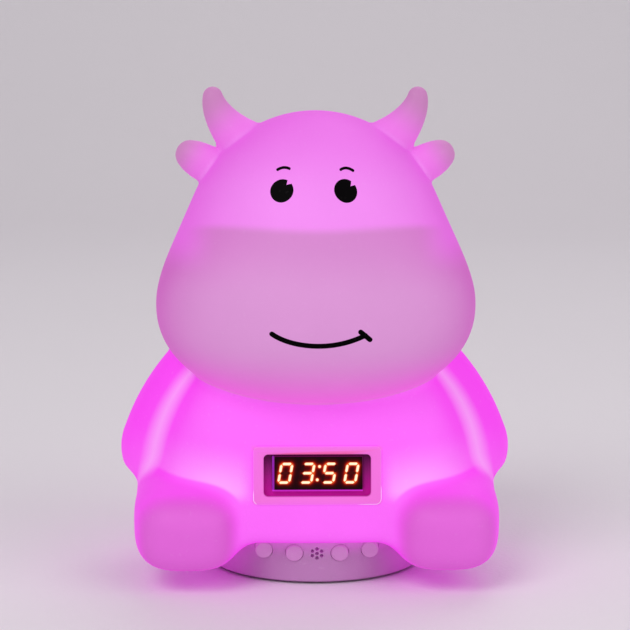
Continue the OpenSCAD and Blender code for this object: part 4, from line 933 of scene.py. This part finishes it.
# ---------------- charging socket, switch and slider
# Behind, a socket with a drawn, tinned steel shell and a black tongue, and the slide switch that
# turns the lamp on. The slider's ridged pad is black nylon; both are soldered to the main board.
wires = plated("tinned_shell", rgb(200, 200, 205), 0.2, 0.26)
place = wires.place()
thin = wires.below(wires.apart(place["Z"], 0.0082), 0.0004, 0.00045)
tongue = wires.times(thin, wires.below(wires.apart(place["X"]), 0.0034, 0.0036))
tinned = wires.tree.nodes["Principled BSDF"].inputs["Base Color"].links[0].from_socket
wires.feed(wires.mix(tongue, tinned, rgb(30, 30, 32)), "Base Color")
wires.feed(wires.minus(1.0, tongue), "Metallic")
dress(wires, "charging_socket", "power_switch")
dress(black_nylon, "power_slider")

# ---------------- battery
# A pouch cell in aluminium laminate, matt and slightly wrinkled at its seal, stuck under the deck
# with foam tape. Its two leads run to a plug on the main board.
wires = new_material("cell_laminate")
wrinkle = wires.noise(160.0, 4.0)
tinted = wires.mix(wires.range(wrinkle, 0.3, 0.7, 0.0, 0.35), rgb(192, 194, 199), rgb(158, 160, 168))
mould(wires, tinted, 0.0003, size=9.0, grain=0.5, rough=0.4, relief=wrinkle, own=0.1)
wires.feed(0.75, "Metallic")
dress(wires, "battery")

wires = new_material("foam_tape")
pores = wires.add("TexVoronoi", {"Vector": wires.here(), "Scale": 2500.0}).outputs["Distance"]
# The pores are painted darker, as shade in them.
porous = wires.mix(wires.range(pores, 0.0, 0.35, 0.5, 0.0), rgb(226, 220, 176), rgb(170, 160, 116))
mould(wires, porous, 0.0001, rough=0.85, relief=pores, own=0.0)
dress(wires, "battery_tape")


def wire_skin(name, axis, stops):
    """PVC-covered wires of several colours in one node, told apart by where they lie."""
    wires = new_material(name)
    place = wires.place()
    low, high = stops[0][0], stops[-1][0]
    where = wires.math("DIVIDE", wires.minus(place[axis], low), high - low)
    colours = [((at - low) / (high - low), colour) for at, colour in stops]
    tint = wires.ramp(where, colours, "CONSTANT")
    mould(wires, tint, 0.00003, size=3.0, clouds=0.12, grain=0.3, rough=0.4)
    dress(wires, name)


red_lead = rgb(186, 40, 36)
wire_skin("battery_leads", "Y", [(-0.0110, rgb(40, 40, 42)), (-0.009, red_lead), (-0.007, red_lead)])

# ---------------- lamp
# Ten colour-changing light chips sit in a ring on a white board, on three posts over the deck.
# A milky polypropylene dome, screwed to the deck, spreads their light through the figure.
wires = new_material("milky_dome")
place = wires.place()
stops = [(0, rgb(214, 120, 210)), (0.55, rgb(244, 150, 244)), (1, rgb(255, 205, 255))]
lit_up = wires.ramp(wires.range(place["Z"], 0.024, 0.056), stops)
split(wires, mould(wires, lit_up, 0.00003, size=18.0, clouds=0.04, rough=0.42), 0.5, 0.5)
dress(wires, "lamp_dome")

dress(board("white_board", rgb(232, 230, 228), rgb(214, 212, 210), 3.0), "light_board")

wires = new_material("light_chip")
place = wires.place()
out2 = wires.plus(wires.times(place["X"], place["X"]), wires.times(place["Y"], place["Y"]))
lens = wires.below(wires.apart(wires.math("SQRT", out2), 0.0135), 0.0009, 0.0013)
wires.feed(wires.mix(lens, rgb(236, 230, 226), rgb(255, 210, 255)), "Base Color")
wires.shine(wires.mix(lens, (0.02, 0.0, 0.02, 1), rgb(255, 150, 255)))
wires.feed(wires.plus(0.2, wires.noise(2000.0), 0.15), "Roughness")
dress(wires, "light_chips")

white_lead = rgb(225, 225, 225)
colours = [(-0.0172, rgb(190, 40, 36)), (-0.0158, rgb(40, 130, 60)), (-0.0146, rgb(36, 70, 170))]
wire_skin("light_leads", "X", colours + [(-0.0134, white_lead), (-0.012, white_lead)])

# ---------------- display
# A four-digit light display with a black face and a white reflector case, in a holder behind the
# window. Lit segments are warm white at the core and orange at the rim, and redden the epoxy of
# the face around them. The case and the holder are painted dark purple as shade, with painted
# magenta light from the lamp along their lower parts and at the case's left end.
CASE_W, CASE_H, RECESS = 30, 11.5, 1.2
CASE_X, CASE_Z = 0.1, 0.5
FACE_LOW = np.array([CASE_X - CASE_W / 2 + 0.75, CASE_Z - CASE_H / 2 + 0.55])
FACE_HIGH = np.array([CASE_X + CASE_W / 2 - 0.2, CASE_Z + CASE_H / 2 - 0.1])
FACE_MIDDLE = (FACE_LOW + FACE_HIGH) / 2
FACE_FRONT = RECESS - 0.3
DIGIT_W, DIGIT_H, PITCH, SLANT = 4.5, 7.1, 7.3, np.radians(10)
BAR, BAR_GAP, DOT_R, DOT_OUT = 0.95, 0.3, 0.55, 2.2
ON = {0: "abcdef", 3: "abcdg", 5: "acdfg"}


def bars():
    """Every segment of the four digits: its outline, the line through it, and whether it is lit."""
    w, h = DIGIT_W - BAR, DIGIT_H - BAR
    spots = {"a": (0, h / 2, 0), "b": (w / 2, h / 4, 90), "c": (w / 2, -h / 4, 90), "d": (0, -h / 2, 0)}
    spots.update({"e": (-w / 2, -h / 4, 90), "f": (-w / 2, h / 4, 90), "g": (0, 0, 0)})
    for i, digit in enumerate((0, 3, 5, 0)):
        for letter, (x, z, angle) in spots.items():
            e, b = ((w if angle == 0 else h / 2) - BAR_GAP) / 2, BAR / 2
            outline = np.array([(-e, 0), (-e + b, -b), (e - b, -b), (e, 0), (e - b, b), (-e + b, b)])
            core = np.array([(-e + b, 0), (e - b, 0)])
            a = np.radians(angle)
            spin = np.array([[np.cos(a), np.sin(a)], [-np.sin(a), np.cos(a)]])
            moved = [shape @ spin + (x, z) for shape in (outline, core)]
            for shape in moved:
                shape[:, 0] += shape[:, 1] * np.tan(SLANT) + (i - 1.5) * PITCH
            yield moved[0] + FACE_MIDDLE, moved[1] + FACE_MIDDLE, letter in ON[digit]


def crowned(outlines, depths, masks):
    """Closed form through outlines at depths from the face's front, as points, faces and a core mask."""
    points, faces = loft([on_display(ring, FACE_FRONT + y) for ring, y in zip(outlines, depths)])
    return points, faces, np.repeat(masks, len(outlines[0]))


def lozenge(outline, core):
    """Slightly crowned bar: rim, shoulder and a core line."""
    middle, ends = core.mean(0), core[[0, 0, 1, 1, 1, 0]]
    shoulder = middle + (outline - middle) * 0.94
    outlines = [outline, outline, shoulder, (outline + ends) / 2, ends + (outline - ends) * 0.12]
    return crowned(outlines, (0.25, 0, -0.015, -0.03, -0.035), (0.0, 0.0, 0.35, 0.9, 1.0))


def dot(middle):
    outlines = [middle + DOT_R * share * np.stack(circle(24), -1) for share in (1, 1, 0.8, 0.5, 0.1)]
    return crowned(outlines, (0.25, 0, -0.02, -0.035, -0.04), (0, 0, 0.5, 1, 1))


def gather(name, shapes):
    """One piece from several closed shapes, with their core masks."""
    points, faces, masks, start = [], [], [], 0
    for p, f, m in shapes:
        points.append(p)
        faces += [[start + i for i in face] for face in f]
        masks.append(m)
        start += len(p)
    piece = outward(make_mesh(name, np.concatenate(points), faces), 60)
    add_mask(piece, "core", np.concatenate(masks))
    return piece


colon = [FACE_MIDDLE + np.array([s * DOT_OUT * np.tan(SLANT), s * DOT_OUT]) for s in (-1, 1)]
all_bars = list(bars())
lit_bars = [(outline, core) for outline, core, on in all_bars if on]
lit = gather("lit_digits", [lozenge(*bar) for bar in lit_bars] + [dot(middle) for middle in colon])
dark = gather("unlit_bars", [lozenge(outline, core) for outline, core, on in all_bars if not on])

# The face is a thin plate with a fine grid over its front, which carries the reddening.
step = 0.24
columns = int((FACE_HIGH[0] - FACE_LOW[0]) / step) + 1
rows = int((FACE_HIGH[1] - FACE_LOW[1]) / step) + 1
xs, zs = np.linspace(FACE_LOW[0], FACE_HIGH[0], columns), np.linspace(FACE_LOW[1], FACE_HIGH[1], rows)
flat = np.stack(np.meshgrid(xs, zs, indexing="ij"), -1).reshape(-1, 2)
front, back = on_display(flat, FACE_FRONT + 0.02), on_display(flat, RECESS)
cells = [i * rows + j for i in range(columns - 1) for j in range(rows - 1)]
faces = [[a, a + rows, a + rows + 1, a + 1] for a in cells]
border = grid_border(columns, rows)
behind = [len(flat) + b for b in border]
faces += [[border[i], border[i - 1], behind[i - 1], behind[i]] for i in range(len(border))]
faces.append(behind)
face_plate = make_mesh("black_face", np.concatenate([front, back]), faces)
used = bmesh.new()
used.from_mesh(face_plate.data)
bmesh.ops.delete(used, geom=[v for v in used.verts if not v.link_faces], context="VERTS")
used.to_mesh(face_plate.data)
used.free()
outward(face_plate, 60)


def halo(piece):
    """How strongly the lit segments redden each place of the face."""
    beside, _, above = from_display(places(piece))
    at = np.stack([beside, above], -1)
    light = np.zeros(len(at))
    for _, core in lit_bars:
        line = core[1] - core[0]
        t = np.clip((at - core[0]) @ line / (line @ line), 0, 1)
        off = np.linalg.norm(at - core[0] - t[:, None] * line, axis=1)
        light += np.exp(-np.maximum(off - BAR / 2, 0) / 0.5)
    for middle in colon:
        light += np.exp(-np.maximum(np.linalg.norm(at - middle, axis=1) - DOT_R, 0) / 0.35)
    return np.clip(light, 0, 1.4) / 1.4


add_mask(face_plate, "halo", halo(face_plate))
add_mask(dark, "halo", halo(dark))

wires = new_material("black_face")
stops = [(0, rgb(16, 0, 4)), (0.15, rgb(54, 1, 3)), (0.4, rgb(106, 4, 4)), (0.7, rgb(184, 30, 8))]
red = wires.ramp(wires.mask("halo"), stops + [(1, rgb(228, 78, 20))])
mould(wires, rgb(12, 3, 6), 0.00001, grain=0.2, rough=0.36, dust=0.0)
wires.feed(0.03, "Specular IOR Level")
wires.shine(red)
wear(face_plate, wires)
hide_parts("display_face")

wires = new_material("unlit_epoxy")
mould(wires, rgb(20, 5, 7), 0.00001, grain=0.2, rough=0.4, dust=0.0)
wires.feed(0.03, "Specular IOR Level")
stray = wires.ramp(wires.mask("halo"), [(0, rgb(20, 0, 3)), (0.5, rgb(48, 3, 5)), (1, rgb(96, 12, 8))])
wires.shine(stray)
wear(dark, wires)
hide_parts("dark_segments")

wires = new_material("lit_epoxy")
warmth = wires.plus(wires.mask("core"), wires.minus(wires.noise(1500.0), 0.5), 0.2)
stops = [(0, rgb(235, 110, 40)), (0.35, rgb(252, 178, 104)), (0.8, rgb(255, 232, 190))]
heat = wires.ramp(warmth, stops + [(1, rgb(255, 244, 214))])
wires.feed(wires.dimmed(heat, 0.3), "Base Color")
wires.shine(heat, 0.85)
wires.feed(wires.plus(0.25, wires.noise(900.0), 0.15), "Roughness")
wear(lit, wires)
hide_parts("lit_segments")

wires = new_material("reflector_case")
place = wires.place()
# Painted shade: the white case is dark purple, lighter at its left end, with painted magenta light along its
# bottom.
tint = wires.mix(wires.below(place["X"], -0.0146, -0.0140), rgb(104, 8, 78), rgb(158, 36, 186))
tint = wires.mix(wires.below(place["Z"], 0.0336, 0.0344), tint, rgb(232, 44, 232))
split(wires, mould(wires, tint, 0.00002, size=4.0, clouds=0.08, rough=0.4, dust=0.0), 0.4, 0.6)
wires.feed(0.12, "Specular IOR Level")
dress(wires, "display_case")

wires = new_material("holder_abs")
place = wires.place()
# Painted light and shade: bright magenta low down, darker towards the top.
stops = [(0, rgb(205, 18, 165)), (0.5, rgb(158, 26, 128)), (1, rgb(92, 6, 78))]
tint = wires.ramp(wires.range(place["Z"], 0.0325, 0.047), stops)
mould(wires, tint, 0.00005, size=5.0, clouds=0.1, dust=0.0)
wires.feed(0.12, "Specular IOR Level")
dress(wires, "display_holder")

dress(plated("tinned_pins", rgb(205, 190, 130), 0.1, 0.25), "display_pins")

# ---------------- anti-slip pad
# A disc of grey EVA foam under the base, glued in a shallow recess, with a hole over each case
# screw. Its closed cells show as fine pits.
wires = new_material("eva_foam")
pits = wires.add("TexVoronoi", {"Vector": wires.here(), "Scale": 1600.0}).outputs["Distance"]
# The pits are painted darker, as shade in them.
pitted = wires.mix(wires.range(pits, 0.0, 0.3, 0.5, 0.0), rgb(120, 118, 124), rgb(84, 82, 88))
mould(wires, pitted, 0.0001, size=20.0, clouds=0.1, rough=0.8, dust=0.8, relief=pits, own=0.4)
dress(wires, "anti_slip_pad")

from mathutils import Vector

table_profile = [(-3.0, 0.0), (1.2, 0.0)]
bend_r, bend_y = 0.9, 1.2
bends = np.radians(np.arange(6, 91, 6))
table_profile += [(bend_y + bend_r * np.sin(a), bend_r * (1 - np.cos(a))) for a in bends]
table_profile += [(bend_y + bend_r, 4.0)]
points = [(side * 4.0, y, z) for y, z in table_profile for side in (-1, 1)]
faces = [(2 * i, 2 * i + 1, 2 * i + 3, 2 * i + 2) for i in range(len(table_profile) - 1)]
table = make_mesh("table", np.array(points) / MM, faces)
table.data.shade_smooth()
wires = new_material("pale_table")
mould(wires, rgb(228, 222, 228), 0.0001, size=300.0, clouds=0.01, grain=1.5, rough=0.55, dust=0.0)
table.data.materials.append(wires.material)


def aimed(name, data, place):
    """Camera or light at a place in metres, turned towards the figure's middle."""
    thing = bpy.data.objects.new(name, data)
    thing.location = place
    aim = Vector((0, 0, 0.0865)) - thing.location
    thing.rotation_euler = aim.to_track_quat("-Z", "Y").to_euler()
    bpy.context.scene.collection.objects.link(thing)
    return thing


lens = bpy.data.cameras.new("camera")
lens.sensor_width, lens.lens = 36, 114.5
bpy.context.scene.camera = aimed("camera", lens, (-0.0121, -0.6935, 0.1815))
for name, place, size, power in (
    ("key", (-0.8, -1.2, 1.4), 1.0, 14.5),
    ("fill", (1.2, -0.9, 0.9), 1.2, 7),
    ("back", (0.3, 1.0, 1.5), 1.0, 4.5),
):
    soft_box = bpy.data.lights.new(name, "AREA")
    soft_box.size, soft_box.energy = size, power
    aimed(name, soft_box, place)

room = bpy.data.worlds.new("studio")
room.use_nodes = True
bpy.context.scene.world = room
wires = Wires(room.node_tree)
rays = wires.add("LightPath").outputs
glossy = wires.math("MAXIMUM", rays["Is Glossy Ray"], rays["Is Transmission Ray"])
seen = wires.math("MAXIMUM", rays["Is Camera Ray"], glossy)
around = room.node_tree.nodes["Background"].inputs
wires.feed(wires.plus(0.45, seen, 0.55), around["Strength"])
wires.feed((1, 1, 1, 1), around["Color"])
bpy.context.scene.view_settings.view_transform = "Standard"
